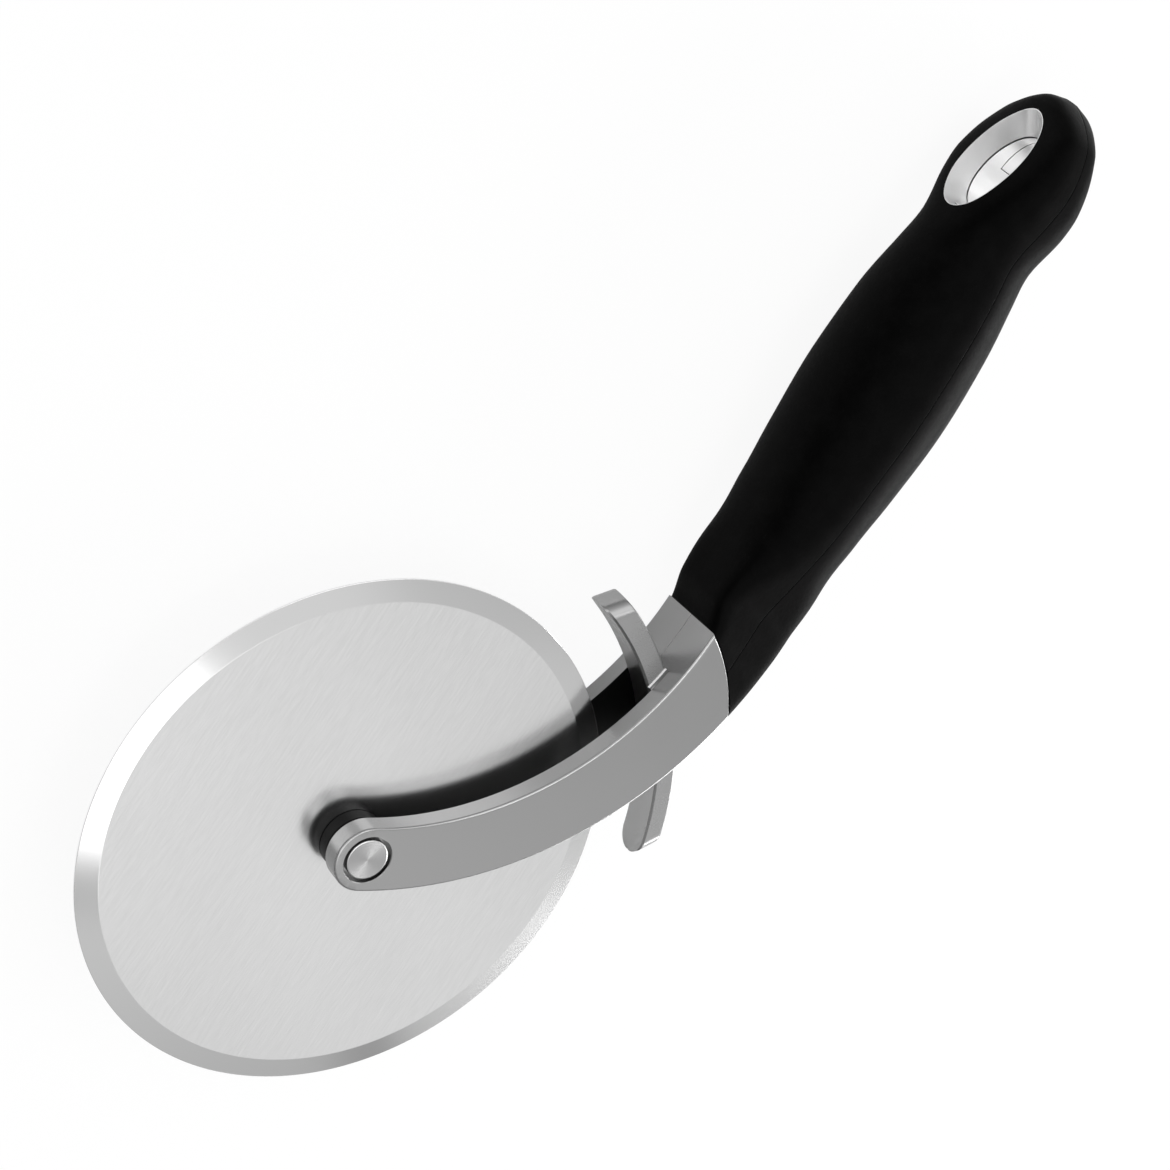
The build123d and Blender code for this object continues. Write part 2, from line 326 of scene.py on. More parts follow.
def carved(shape: Shape, tool: Shape, way: Cut) -> Shape:
    """Cuts one closed shape with another.

    Args:
        shape: the shape that is kept, which is used up.
        tool: the shape that cuts, which is used up.
        way: what the tool does.

    Returns:
        The cut shape.
    """
    objects = []
    for part, label in ((shape, "carving"), (tool, "carving_tool")):
        mesh = bpy.data.meshes.new(label)
        part.bm.to_mesh(mesh)
        part.bm.free()
        obj = bpy.data.objects.new(label, mesh)
        bpy.context.scene.collection.objects.link(obj)
        objects.append(obj)
    body, cutter = objects
    cut = body.modifiers.new("cut", "BOOLEAN")
    cut.operation = way.value
    cut.solver = "EXACT"
    cut.object = cutter
    bpy.context.view_layer.update()
    depsgraph = bpy.context.evaluated_depsgraph_get()
    mesh = bpy.data.meshes.new_from_object(body.evaluated_get(depsgraph))
    result = Shape()
    result.bm.from_mesh(mesh)
    for obj in objects:
        old = obj.data
        bpy.data.objects.remove(obj)
        bpy.data.meshes.remove(old)
    bpy.data.meshes.remove(mesh)
    return result


# Finishes


class Tree:
    """A node tree, with short ways to add and join nodes."""

    def __init__(self, tree: bpy.types.NodeTree) -> None:
        """Takes a tree as it is."""
        self.nodes = tree.nodes
        self.links = tree.links

    def node(self, kind: str, **settings: object) -> bpy.types.Node:
        """Adds a node and sets its properties, or its inputs by name.

        Args:
            kind: the node's type.
            **settings: properties or inputs, with _ for a space.

        Returns:
            The new node.
        """
        made = self.nodes.new(kind)
        for key, value in settings.items():
            if hasattr(made, key):
                setattr(made, key, value)
            else:
                made.inputs[key.replace("_", " ")].default_value = value
        return made

    def join(self, output: Socket, socket: Socket) -> None:
        """Links an output to an input."""
        self.links.new(output, socket)

    def times(self, a: Socket, b: Socket) -> Socket:
        """The product of two grey values.

        Args:
            a: the first value.
            b: the second.

        Returns:
            The output that holds their product.
        """
        made = self.node("ShaderNodeMath", operation="MULTIPLY")
        self.join(a, made.inputs[0])
        self.join(b, made.inputs[1])
        return made.outputs[0]

    def blend(self, share: Socket, first: Socket, second: Socket) -> Socket:
        """A mix of two shaders, the second by its share.

        Args:
            share: of the second shader, from 0 to 1.
            first: the first shader.
            second: the second one.

        Returns:
            The output that holds the mix.
        """
        mix = self.node("ShaderNodeMixShader")
        self.join(share, mix.inputs["Fac"])
        self.join(first, mix.inputs[1])
        self.join(second, mix.inputs[2])
        return mix.outputs["Shader"]


class Bench(Tree):
    """A material's node tree around its surface shader."""

    def __init__(self, name: str) -> None:
        """Starts a material.

        Args:
            name: the material's name.
        """
        self.material = bpy.data.materials.new(name)
        self.material.use_nodes = True
        super().__init__(self.material.node_tree)
        self.shader = self.nodes["Principled BSDF"]

    def set(self, **values: object) -> None:
        """Sets constants on the shader itself."""
        for key, value in values.items():
            self.shader.inputs[key.replace("_", " ")].default_value = value

    def feed(self, name: str, output: Socket) -> None:
        """Links an output to an input of the shader."""
        self.join(output, self.shader.inputs[name])

    def place(self, density: Triple) -> Socket:
        """Object coordinates in metres, scaled for a pattern.

        Args:
            density: how many units of the pattern a metre holds, along each axis.

        Returns:
            The output that holds them.
        """
        coordinates = self.node("ShaderNodeTexCoord")
        mapping = self.node("ShaderNodeMapping", Scale=density)
        self.join(coordinates.outputs["Object"], mapping.inputs["Vector"])
        return mapping.outputs["Vector"]

    def noise(self, vector: Socket, scale: float, detail: float = 2.0, rough: float = 0.5) -> Socket:
        """A noise pattern's grey value.

        Args:
            vector: where the pattern is read.
            scale: how many marks a unit holds.
            detail: how many finer layers it has.
            rough: how strong these are.

        Returns:
            The output that holds it.
        """
        made = self.node("ShaderNodeTexNoise", Scale=scale, Detail=detail, Roughness=rough)
        self.join(vector, made.inputs["Vector"])
        return made.outputs["Fac"]

    def pattern(self, density: Triple, detail: float = 2.0, rough: float = 0.5) -> Socket:
        """Noise over the object, with so many marks in a metre along each axis."""
        return self.noise(self.place(density), 1.0, detail, rough)

    def remap(
        self, value: Socket, low: float, high: float, start: float = 0.3, end: float = 0.7
    ) -> Socket:
        """Stretches a grey value from start..end to low..high.

        Args:
            value: the grey value.
            low: what start becomes.
            high: what end becomes.
            start: where the stretched part begins.
            end: where it ends.

        Returns:
            The output that holds the new value.
        """
        made = self.node(
            "ShaderNodeMapRange", From_Min=start, From_Max=end, To_Min=low, To_Max=high
        )
        self.join(value, made.inputs["Value"])
        return made.outputs["Result"]

    def tint(self, value: Socket, low: Triple, high: Triple) -> None:
        """Runs the surface colour between two tones by a grey value.

        Args:
            value: the grey value.
            low: the colour where it is 0.
            high: the colour where it is 1.
        """
        mix = self.node("ShaderNodeMix", data_type="RGBA")
        mix.inputs["A"].default_value = (*low, 1.0)
        mix.inputs["B"].default_value = (*high, 1.0)
        self.join(value, mix.inputs["Factor"])
        self.feed("Base Color", mix.outputs["Result"])

    def bump(self, height: Socket, distance: float, strength: float = 1.0) -> None:
        """Raises the surface by a grey value, after any bump that is already there.

        Args:
            height: the grey value.
            distance: how high a value of 1 is, in metres.
            strength: how much of that is shown.
        """
        made = self.node("ShaderNodeBump", Strength=strength, Distance=distance)
        self.join(height, made.inputs["Height"])
        socket = self.shader.inputs["Normal"]
        if socket.is_linked:
            self.join(socket.links[0].from_socket, made.inputs["Normal"])
        self.join(made.outputs["Normal"], socket)


class Grain(Enum):
    """Which way the marks of a metal's last working run."""

    ALONG_HANDLE = "along the handle"
    ROUND_AXLE = "round the axle"
    EVEN = "no direction"


@dataclass(frozen=True)
class Steel:
    """Worked stainless steel.

    Attributes:
        name: the material's name.
        tone: grey of the metal, from 0 to 1.
        roughness: how blurred its reflections are.
        grain: the direction of its marks.
        grain_depth: height of the marks, in metres.
        variation: how much tone and roughness change along the marks.
        stretch: how much reflections are drawn out across the marks.
    """

    name: str
    tone: float
    roughness: float
    grain: Grain = Grain.EVEN
    grain_depth: float = 0.0
    variation: float = 0.05
    stretch: float = 0.0

    # Marks in a metre, along X, Y and Z where there are three.
    brushed = (260.0, 2700.0, 2700.0)
    satin = (9000.0,) * 3
    clouds = (34.0,) * 3
    rings = 7000.0

    def material(self) -> bpy.types.Material:
        """Builds the node material.

        Returns:
            The material.
        """
        bench = Bench(self.name)
        bench.set(Metallic=1.0, Anisotropic=self.stretch)
        if self.grain is Grain.ALONG_HANDLE:
            fine = bench.pattern(self.brushed, detail=4.0, rough=0.6)
            bench.feed("Tangent", self._along_handle(bench))
        elif self.grain is Grain.ROUND_AXLE:
            fine = self._rings(bench)
            tangent = bench.node("ShaderNodeTangent", direction_type="RADIAL", axis="Z")
            bench.feed("Tangent", tangent.outputs["Tangent"])
        else:
            fine = bench.pattern(self.satin)
        broad = bench.pattern(self.clouds)
        low, high = self.tone * (1 - self.variation), self.tone * (1 + self.variation)
        bench.tint(bench.remap(fine, 0.0, 1.0), (low,) * 3, (high,) * 3)
        rough = bench.times(
            bench.remap(fine, 1 - self.variation, 1 + self.variation),
            bench.remap(broad, self.roughness * 0.92, self.roughness * 1.08),
        )
        bench.feed("Roughness", rough)
        if self.grain_depth > 0:
            bench.bump(fine, self.grain_depth)
        return bench.material

    def _along_handle(self, bench: Bench) -> Socket:
        """The piece's own X direction, as the marks' direction.

        Args:
            bench: the material that is being built.

        Returns:
            The output that holds the direction.
        """
        made = bench.node("ShaderNodeVectorTransform", Vector=(1.0, 0.0, 0.0))
        made.vector_type, made.convert_from, made.convert_to = "VECTOR", "OBJECT", "WORLD"
        return made.outputs["Vector"]

    def _rings(self, bench: Bench) -> Socket:
        """Fine turned rings round the axle, a little uneven.

        Args:
            bench: the material that is being built.

        Returns:
            The output that holds their grey value.
        """
        place = bench.place((1.0, 1.0, 0.0))
        distance = bench.node("ShaderNodeVectorMath", operation="LENGTH")
        bench.join(place, distance.inputs[0])
        line = bench.node("ShaderNodeCombineXYZ")
        bench.join(distance.outputs["Value"], line.inputs["X"])
        return bench.noise(line.outputs["Vector"], self.rings)


@dataclass(frozen=True)
class SoftGrip:
    """Black soft-touch rubber with a faint mottling and a fine moulded grain.

    Attributes:
        name: the material's name.
        low: its darkest grey.
        high: its lightest grey.
        roughness: how blurred its reflections are.
    """

    name: str = "soft_grip"
    low: float = 0.0002
    high: float = 0.002
    roughness: float = 0.47

    # Spots in a metre.
    mottling = (260.0,) * 3
    skin = (1500.0,) * 3

    def material(self) -> bpy.types.Material:
        """Builds the node material.

        Returns:
            The material.
        """
        bench = Bench(self.name)
        bench.set(Specular_IOR_Level=0.04, Sheen_Weight=0.02, Sheen_Roughness=0.35)
        mottle = bench.pattern(self.mottling, detail=5.0, rough=0.65)
        share = bench.remap(mottle, 0.0, 1.0, start=0.4, end=0.8)
        bench.tint(share, (self.low,) * 3, (self.high,) * 3)
        fine = bench.pattern(self.skin, detail=3.0, rough=0.6)
        level = bench.remap(fine, self.roughness * 0.9, self.roughness * 1.1)
        bench.feed("Roughness", bench.times(bench.remap(mottle, 0.94, 1.06), level))
        bench.bump(fine, distance=0.00004, strength=0.5)
        bench.bump(mottle, distance=0.0002, strength=0.25)
        return bench.material


@dataclass(frozen=True)
class Plastic:
    """Plain moulded plastic with a fine moulded surface.

    Attributes:
        name: the material's name.
        colour: its lightest tone.
        roughness: how blurred its reflections are.
        shine: strength of its reflections.
    """

    name: str
    colour: Triple
    roughness: float
    shine: float = 0.4

    # Spots in a metre.
    clouds = (300.0,) * 3
    skin = (2500.0,) * 3

    def material(self) -> bpy.types.Material:
        """Builds the node material.

        Returns:
            The material.
        """
        bench = Bench(self.name)
        bench.set(Specular_IOR_Level=self.shine)
        cloud = bench.pattern(self.clouds, detail=3.0)
        low = tuple(c * 0.93 for c in self.colour)
        bench.tint(bench.remap(cloud, 0.0, 1.0), low, self.colour)
        bench.feed("Roughness", bench.remap(cloud, self.roughness * 0.92, self.roughness * 1.08))
        bench.bump(bench.pattern(self.skin), distance=0.00003, strength=0.4)
        return bench.material


@dataclass(frozen=True)
class Brass:
    """Reamed brass of the hub's bush."""

    name: str = "bush_brass"

    # Marks in a metre, and the tones between them.
    reamed = (4000.0, 4000.0, 900.0)
    dark, light = (0.62, 0.47, 0.21), (0.74, 0.58, 0.3)

    def material(self) -> bpy.types.Material:
        """Builds the node material.

        Returns:
            The material.
        """
        bench = Bench(self.name)
        bench.set(Metallic=1.0)
        fine = bench.pattern(self.reamed)
        bench.tint(bench.remap(fine, 0.0, 1.0), self.dark, self.light)
        bench.feed("Roughness", bench.remap(fine, 0.24, 0.34))
        bench.bump(fine, distance=0.00001, strength=0.5)
        return bench.material


@dataclass
class Finishes:
    """Every finish on the cutter, each made once."""

    disc_face: Steel = Steel("disc_brushed", 0.84, 0.22, Grain.ALONG_HANDLE, 0.000005, 0.035, 0.6)
    disc_bevel: Steel = Steel("disc_ground_bevel", 0.86, 0.13, Grain.ROUND_AXLE, 0.0000008, 0.02, 0.3)
    fork: Steel = Steel("fork_satin", 0.40, 0.21, Grain.EVEN, 0.0000002, 0.02)
    # Near-black steel on the arms' inner faces and the slot's floor: painted shade in the gap beside
    # the disc.
    fork_painted_shade: Steel = Steel("fork_painted_shade", 0.03, 0.42, Grain.EVEN, 0.000001, 0.1)
    guard: Steel = Steel("guard_satin", 0.40, 0.27, Grain.EVEN, 0.0000002, 0.02)
    turned: Steel = Steel("turned_steel", 0.50, 0.26, Grain.ROUND_AXLE, 0.000004, 0.06, 0.85)
    plain: Steel = Steel("plain_steel", 0.5, 0.35, Grain.EVEN, 0.000002, 0.05)
    eyelet: Steel = Steel("eyelet_plate", 0.85, 0.34, Grain.EVEN, 0.0000002, 0.02)
    grip: SoftGrip = SoftGrip()
    core: Plastic = Plastic("core_plastic", (0.03, 0.03, 0.03), 0.5)
    # Black plastic for the hub flanges and thrust washers, made darker and duller than such plastic to
    # stand in for the shade round the hub: partly painted shade.
    washer: Plastic = Plastic("washer_plastic", (0.004, 0.004, 0.004), 0.4, 0.12)
    bush: Brass = Brass()

    def __post_init__(self) -> None:
        """Keeps room for the materials that are made already."""
        self.made: dict[str, bpy.types.Material] = {}

    def get(self, name: str) -> bpy.types.Material:
        """The material of one finish.

        Args:
            name: the field that holds the finish.

        Returns:
            The material, made on the first call.
        """
        if name not in self.made:
            self.made[name] = getattr(self, name).material()
        return self.made[name]


# Fitting


@dataclass
class Fitter:
    """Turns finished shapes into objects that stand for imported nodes.

    Attributes:
        finishes: where the materials come from.
        lift: height of the disc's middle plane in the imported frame, in millimetres.
    """

    finishes: Finishes
    lift: float

    def fit(
        self,
        shape: Shape,
        node: str,
        slot: str,
        *looks: str,
        sharp_deg: float = SHARP_ANGLE_DEG,
        body: Body = Body.FRAME,
    ) -> None:
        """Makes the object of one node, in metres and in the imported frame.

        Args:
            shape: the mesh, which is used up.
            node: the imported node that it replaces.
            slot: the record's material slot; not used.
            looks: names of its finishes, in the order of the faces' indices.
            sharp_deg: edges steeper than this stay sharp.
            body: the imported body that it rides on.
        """
        shape.place(Matrix.Scale(MM, 4) @ Matrix.Translation((0.0, 0.0, self.lift)))
        name = node + "_finish"
        mesh = bpy.data.meshes.new(name)
        shape.bm.to_mesh(mesh)
        shape.bm.free()
        for look in looks:
            mesh.materials.append(self.finishes.get(look))
        mesh.shade_smooth()
        mesh.set_sharp_from_angle(angle=math.radians(sharp_deg))
        obj = bpy.data.objects.new(name, mesh)
        bpy.context.scene.collection.objects.link(obj)
        weighted = obj.modifiers.new("even_shading", "WEIGHTED_NORMAL")
        weighted.keep_sharp = True
        weighted.weight = SHADING_WEIGHT
        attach(obj, body.value)
        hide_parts(node)
        LOG.info("%s: %d faces on %s", name, len(mesh.polygons), body.value)


# Wheel


@dataclass
class Wheel:
    """The cutting disc with the flanges that hold it square on its bush.

    Attributes:
        radius: of the disc.
        half_thick: half the disc's thickness.
        bore_r: radius of the disc's bore.
        bevel_width: radial width of the ground bevel.
        half_rim: half the thickness left at the rim.
        flange_r: radius of a hub flange.
        hub_half: height of a flange's outer face above the middle plane.
        edge: radius of the small edge breaks.
        land: radial width of the small chamfer at the rim.
        land_rise: how much half the thickness grows over it.
        ease: half the radial width of the step between bevel and flat.
        ease_drop: how far its outer end lies below the flat.
    """

    radius: float
    half_thick: float
    hub_half: float
    flange_r: float
    bore_r: float = 4.02
    bevel_width: float = 4.0
    half_rim: float = 0.15
    edge: float = 0.2
    land: float = 0.05
    land_rise: float = 0.03
    ease: float = 0.06
    ease_drop: float = 0.012

    def build(self, fitter: Fitter) -> None:
        """Builds disc and flanges.

        Args:
            fitter: turns a finished shape into its node's object.
        """
        self._disc(fitter)
        for side, name in ((Side.NEAR, "hub_flange_near"), (Side.FAR, "hub_flange_far")):
            self._flange(side, name, fitter)

    def _disc(self, fitter: Fitter) -> None:
        """The disc: brushed flats, ground bevels and a small chamfer at the rim.

        Args:
            fitter: turns a finished shape into its node's object.
        """
        flat_r = self.radius - self.bevel_width
        half = [
            (self.radius, self.half_rim),
            (self.radius - self.land, self.half_rim + self.land_rise),
            (flat_r + self.ease, self.half_thick - self.ease_drop),
            (flat_r - self.ease, self.half_thick),
            (flat_r * 0.5, self.half_thick),
            (self.bore_r, self.half_thick),
        ]
        profile = half + [(r, -z) for r, z in reversed(half)]
        shape = Shape()
        shape.lathe(profile, DISC_SEGMENTS)
        for face in shape.bm.faces:
            middle = face.calc_center_median()
            face.material_index = 1 if middle.to_2d().length > flat_r else 0
        looks = ("disc_face", "disc_bevel")
        fitter.fit(shape, "cutting_disc", "blade_steel", *looks, sharp_deg=3.0, body=Body.WHEEL)

    def _flange(self, side: Side, name: str, fitter: Fitter) -> None:
        """One flange, with broken edges and a shallow relief in its outer face.

        Args:
            side: which side of the disc it lies on.
            name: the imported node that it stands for.
            fitter: turns a finished shape into its node's object.
        """
        low, high, e = self.half_thick, self.hub_half, self.edge
        profile = [
            (self.bore_r, low),
            (self.flange_r - e, low),
            (self.flange_r, low + e),
            (self.flange_r, high - e),
            (self.flange_r - e, high),
            (self.flange_r - 3 * e, high),
            (self.flange_r - 3 * e, high - e / 2),
            (self.bore_r + e, high - e / 2),
            (self.bore_r, high - e),
        ]
        shape = Shape()
        shape.lathe([(r, side.value * z) for r, z in profile])
        fitter.fit(shape, name, "washer_plastic", "washer", body=Body.WHEEL)


# Fork


@dataclass
class Fork:
    """Two mirrored halves: arms with an eye for the axle, and the collar that takes the tang.

    Attributes:
        half: height of an arm's outer face above the disc's middle plane.
        inner: height of an arm's inner face.
        eye_r: radius of the arm's end round the axle.
        upper_centre: centre of the arc that is the arm's upper edge.
        lower_centre: centre of the arc that is the arm's lower edge.
        guard_inner_r: radius of the guard's face towards the disc.
        guard_thick: thickness of the guard at its upper end.
        collar_top: how far the collar reaches behind the guard along the upper edge.
        collar_bottom: how far it reaches along the lower edge.
        joint_bulge: how far the joint with the handle bulges towards it.
        slot_relief: how far the slot's floor lies behind the guard's face.
        edge: radius of the outer faces' rounded edges near the eye.
        edge_growth: how many times larger that radius is at the joint, along the upper edge.
        joint_edge: edge break at the joint.
        seam: depth of the groove where the halves meet.
        recess_r: radius of the recess round the axle's head.
        recess_depth: its depth.
        bore_r: radius of the axle's bore.
        arc_steps: edges of the outline's arcs, from the eye's top to its foot.
        eye_steps: edges of the arc round the eye.
        floor_steps: edges of the slot's floor.
        edge_rings: loops of a rounded edge.
        chamfer: edge break of the recess.
    """

    half: float
    inner: float
    eye_r: float = 6.3
    upper_centre: Vector = Vector((62.4, 23.8, 0.0))
    lower_centre: Vector = Vector((65.4, 23.5, 0.0))
    guard_inner_r: float = 59.8
    guard_thick: float = 4.2
    collar_top: float = 9.5
    collar_bottom: float = 8.65
    joint_bulge: float = 1.15
    slot_relief: float = 0.3
    edge: float = 0.42
    edge_growth: float = 2.3
    joint_edge: float = 0.3
    seam: float = 0.07
    recess_r: float = 4.52
    recess_depth: float = 2.0
    bore_r: float = 2.62
    arc_steps: tuple[int, ...] = (72, 18, 20, 16, 72)
    eye_steps: int = 40
    floor_steps: int = 24
    edge_rings: int = 6
    chamfer: float = 0.14

    # How close a face's middle lies to the slot's floor or the inner face to count as part of it, and
    # the least Z of its normal there.
    near_floor, near_level, flat_normal = 0.2, 0.01, 0.9

    def __post_init__(self) -> None:
        """Works out the arcs' radii and the joint."""
        self.upper_r = self.upper_centre.length - self.eye_r
        self.lower_r = self.lower_centre.length + self.eye_r
        self.slot_r = self.guard_inner_r + self.slot_relief
        back_r = self.guard_inner_r + self.guard_thick
        self.top_reach = back_r + self.collar_top
        self.joint_top = circles_meet(ORIGIN, self.top_reach, self.upper_centre, self.upper_r)
        self.joint_bottom = circles_meet(
            ORIGIN, back_r + self.collar_bottom, self.lower_centre, self.lower_r
        )
        chord = self.joint_top - self.joint_bottom
        out = Vector((chord.y, -chord.x, 0.0)).normalized()
        bulge = self.joint_bulge
        self.joint_r = (chord.length**2 / 4 + bulge**2) / (2 * bulge)
        middle = (self.joint_top + self.joint_bottom) / 2
        self.joint_centre = middle + out * (bulge - self.joint_r)

    def upper_arc(self, inset: float) -> tuple[Vector, float]:
        """Centre and radius of the upper edge, drawn in by an inset that grows towards the joint.

        Args:
            inset: how far it is drawn in at the eye.

        Returns:
            The centre and the radius.
        """
        to_joint = (self.joint_top - self.upper_centre).normalized()
        aside = Vector((-self.upper_centre.y, self.upper_centre.x, 0.0)).normalized()
        shift = aside * ((self.edge_growth - 1) * inset / aside.dot(to_joint))
        centre = self.upper_centre + shift
        return centre, centre.length - self.eye_r + inset

    def corners(self, inset: float) -> list[Vector]:
        """The six points where the outline's arcs meet, drawn in by an inset.

        Args:
            inset: how far they are drawn in.

        Returns:
            The points, from the top of the eye along the upper edge and back along the lower one.
        """
        eye = self.eye_r - inset
        centre, upper = self.upper_arc(inset)
        lower = self.lower_r - inset
        end_r = self.joint_r - min(inset, self.joint_edge)
        return [
            centre.normalized() * eye,
            circles_meet(ORIGIN, self.slot_r, centre, upper),
            circles_meet(self.joint_centre, end_r, centre, upper),
            circles_meet(self.joint_centre, end_r, self.lower_centre, lower),
            circles_meet(ORIGIN, self.slot_r, self.lower_centre, lower),
            -self.lower_centre.normalized() * eye,
        ]

    def _loop(
        self, shape: Shape, start: Vector, arcs: list[tuple[Vector, float, int]], z: float
    ) -> Loop:
        """Draws arcs, one after another, as a closed loop at one height.

        Args:
            shape: the mesh that they are drawn in.
            start: where the first arc starts.
            arcs: centre, signed turn and number of edges of each.
            z: the height.

        Returns:
            The loop's vertices.
        """
        verts = [shape.start(start)]
        for centre, turn, steps in arcs:
            verts += shape.swing(verts[-1], centre, turn, steps)
        verts = shape.closed(verts)
        for vert in verts:
            vert.co.z = z
        return verts

    def _arcs(self, inset: float) -> list[tuple[Vector, float, int]]:
        """The arcs of the outline from the eye's top to its foot: centre, turn and number of edges.

        Args:
            inset: how far they are drawn in.

        Returns:
            Centre, signed turn and number of edges of each.
        """
        points, upper = self.corners(inset), self.upper_arc(inset)[0]
        centres = [upper, upper, self.joint_centre, self.lower_centre, self.lower_centre]
        rows = zip(centres, points, points[1:], self.arc_steps)
        return [(centre, turn_between(centre, a, b), steps) for centre, a, b, steps in rows]

    def outline(self, shape: Shape, z: float, inset: float = 0.0) -> Loop:
        """Draws the half's outline as a closed loop.

        Args:
            shape: the mesh that it is drawn in.
            z: its height.
            inset: how far it is drawn in.

        Returns:
            The loop's vertices, from the eye along the upper edge and back along the lower one.
        """
        arcs, points = self._arcs(inset), self.corners(inset)
        turn = turn_between(ORIGIN, points[5], points[0])
        round_eye = turn if turn < 0 else turn - 2 * math.pi
        return self._loop(shape, points[0], arcs + [(ORIGIN, round_eye, self.eye_steps)], z)

    def collar_loop(self, shape: Shape, z: float, inset: float = 0.0) -> Loop:
        """The collar's outline as a closed loop: both edges, the joint and the slot's floor.

        Args:
            shape: the mesh that it is drawn in.
            z: its height.
            inset: how far it is drawn in.

        Returns:
            The loop's vertices.
        """
        arcs, points = self._arcs(inset)[1:4], self.corners(inset)
        floor = (ORIGIN, turn_between(ORIGIN, points[4], points[1]), self.floor_steps)
        return self._loop(shape, points[1], arcs + [floor], z)

    def build(self, fitter: Fitter) -> None:
        """Builds both halves.

        Args:
            fitter: turns a finished shape into its node's object.
        """
        for side, name in ((Side.NEAR, "fork_near_half"), (Side.FAR, "fork_far_half")):
            shape = self._half()
            if side is Side.FAR:
                bmesh.ops.scale(shape.bm, vec=(1.0, 1.0, -1.0), verts=shape.bm.verts[:])
            shape.outwards()
            self._paint_gap_shade(shape)
            fitter.fit(shape, name, "fork_steel", "fork", "fork_painted_shade")

    def _half(self) -> Shape:
        """The near half, with a rounded outer edge, the recess and the slot beside the disc.

        Returns:
            The closed mesh, on the near side of the disc.
        """
        shape = Shape()
        rims = []
        for angle in spread(0.0, math.pi / 2, self.edge_rings):
            inset = self.edge * (1 - math.sin(angle))
            height = self.half - self.edge * (1 - math.cos(angle))
            rims.append(self.outline(shape, height, max(inset, 0.0)))
        level = self.outline(shape, self.inner)
        shape.bridge(*rims, level)

        floor = self.half - self.recess_depth
        steps = [
            (self.recess_r + self.chamfer, self.half),
            (self.recess_r, self.half - self.chamfer),
            (self.recess_r, floor),
            (self.bore_r, floor),
            (self.bore_r, self.inner),
        ]
        holes = [shape.circle(radius, z, RING_SEGMENTS) for radius, z in steps]
        shape.bridge(*holes)
        shape.cover(rims[0], holes[0])

        collar = [
            self.collar_loop(shape, self.inner),
            self.collar_loop(shape, self.seam),
            self.collar_loop(shape, 0.0, self.seam),
        ]
        shape.bridge(*collar)
        shape.merge()
        shape.close_level(self.inner)
        shape.close_level(0.0)
        return shape

    def _paint_gap_shade(self, shape: Shape) -> None:
        """Gives the faces that look at the disc or into the slot a near-black steel: painted shade in
        the gap beside the disc.

        Args:
            shape: a finished half.
        """
        for face in shape.bm.faces:
            middle = face.calc_center_median()
            at_floor = abs(middle.to_2d().length - self.slot_r) < self.near_floor
            slot = at_floor and abs(middle.z) < self.inner
            level = abs(abs(middle.z) - self.inner) < self.near_level
            facing = level and abs(face.normal.z) > self.flat_normal
            if slot or facing:
                # These faces take the near-black steel that paints the shade in the gap.
                face.material_index = 1


# Guard


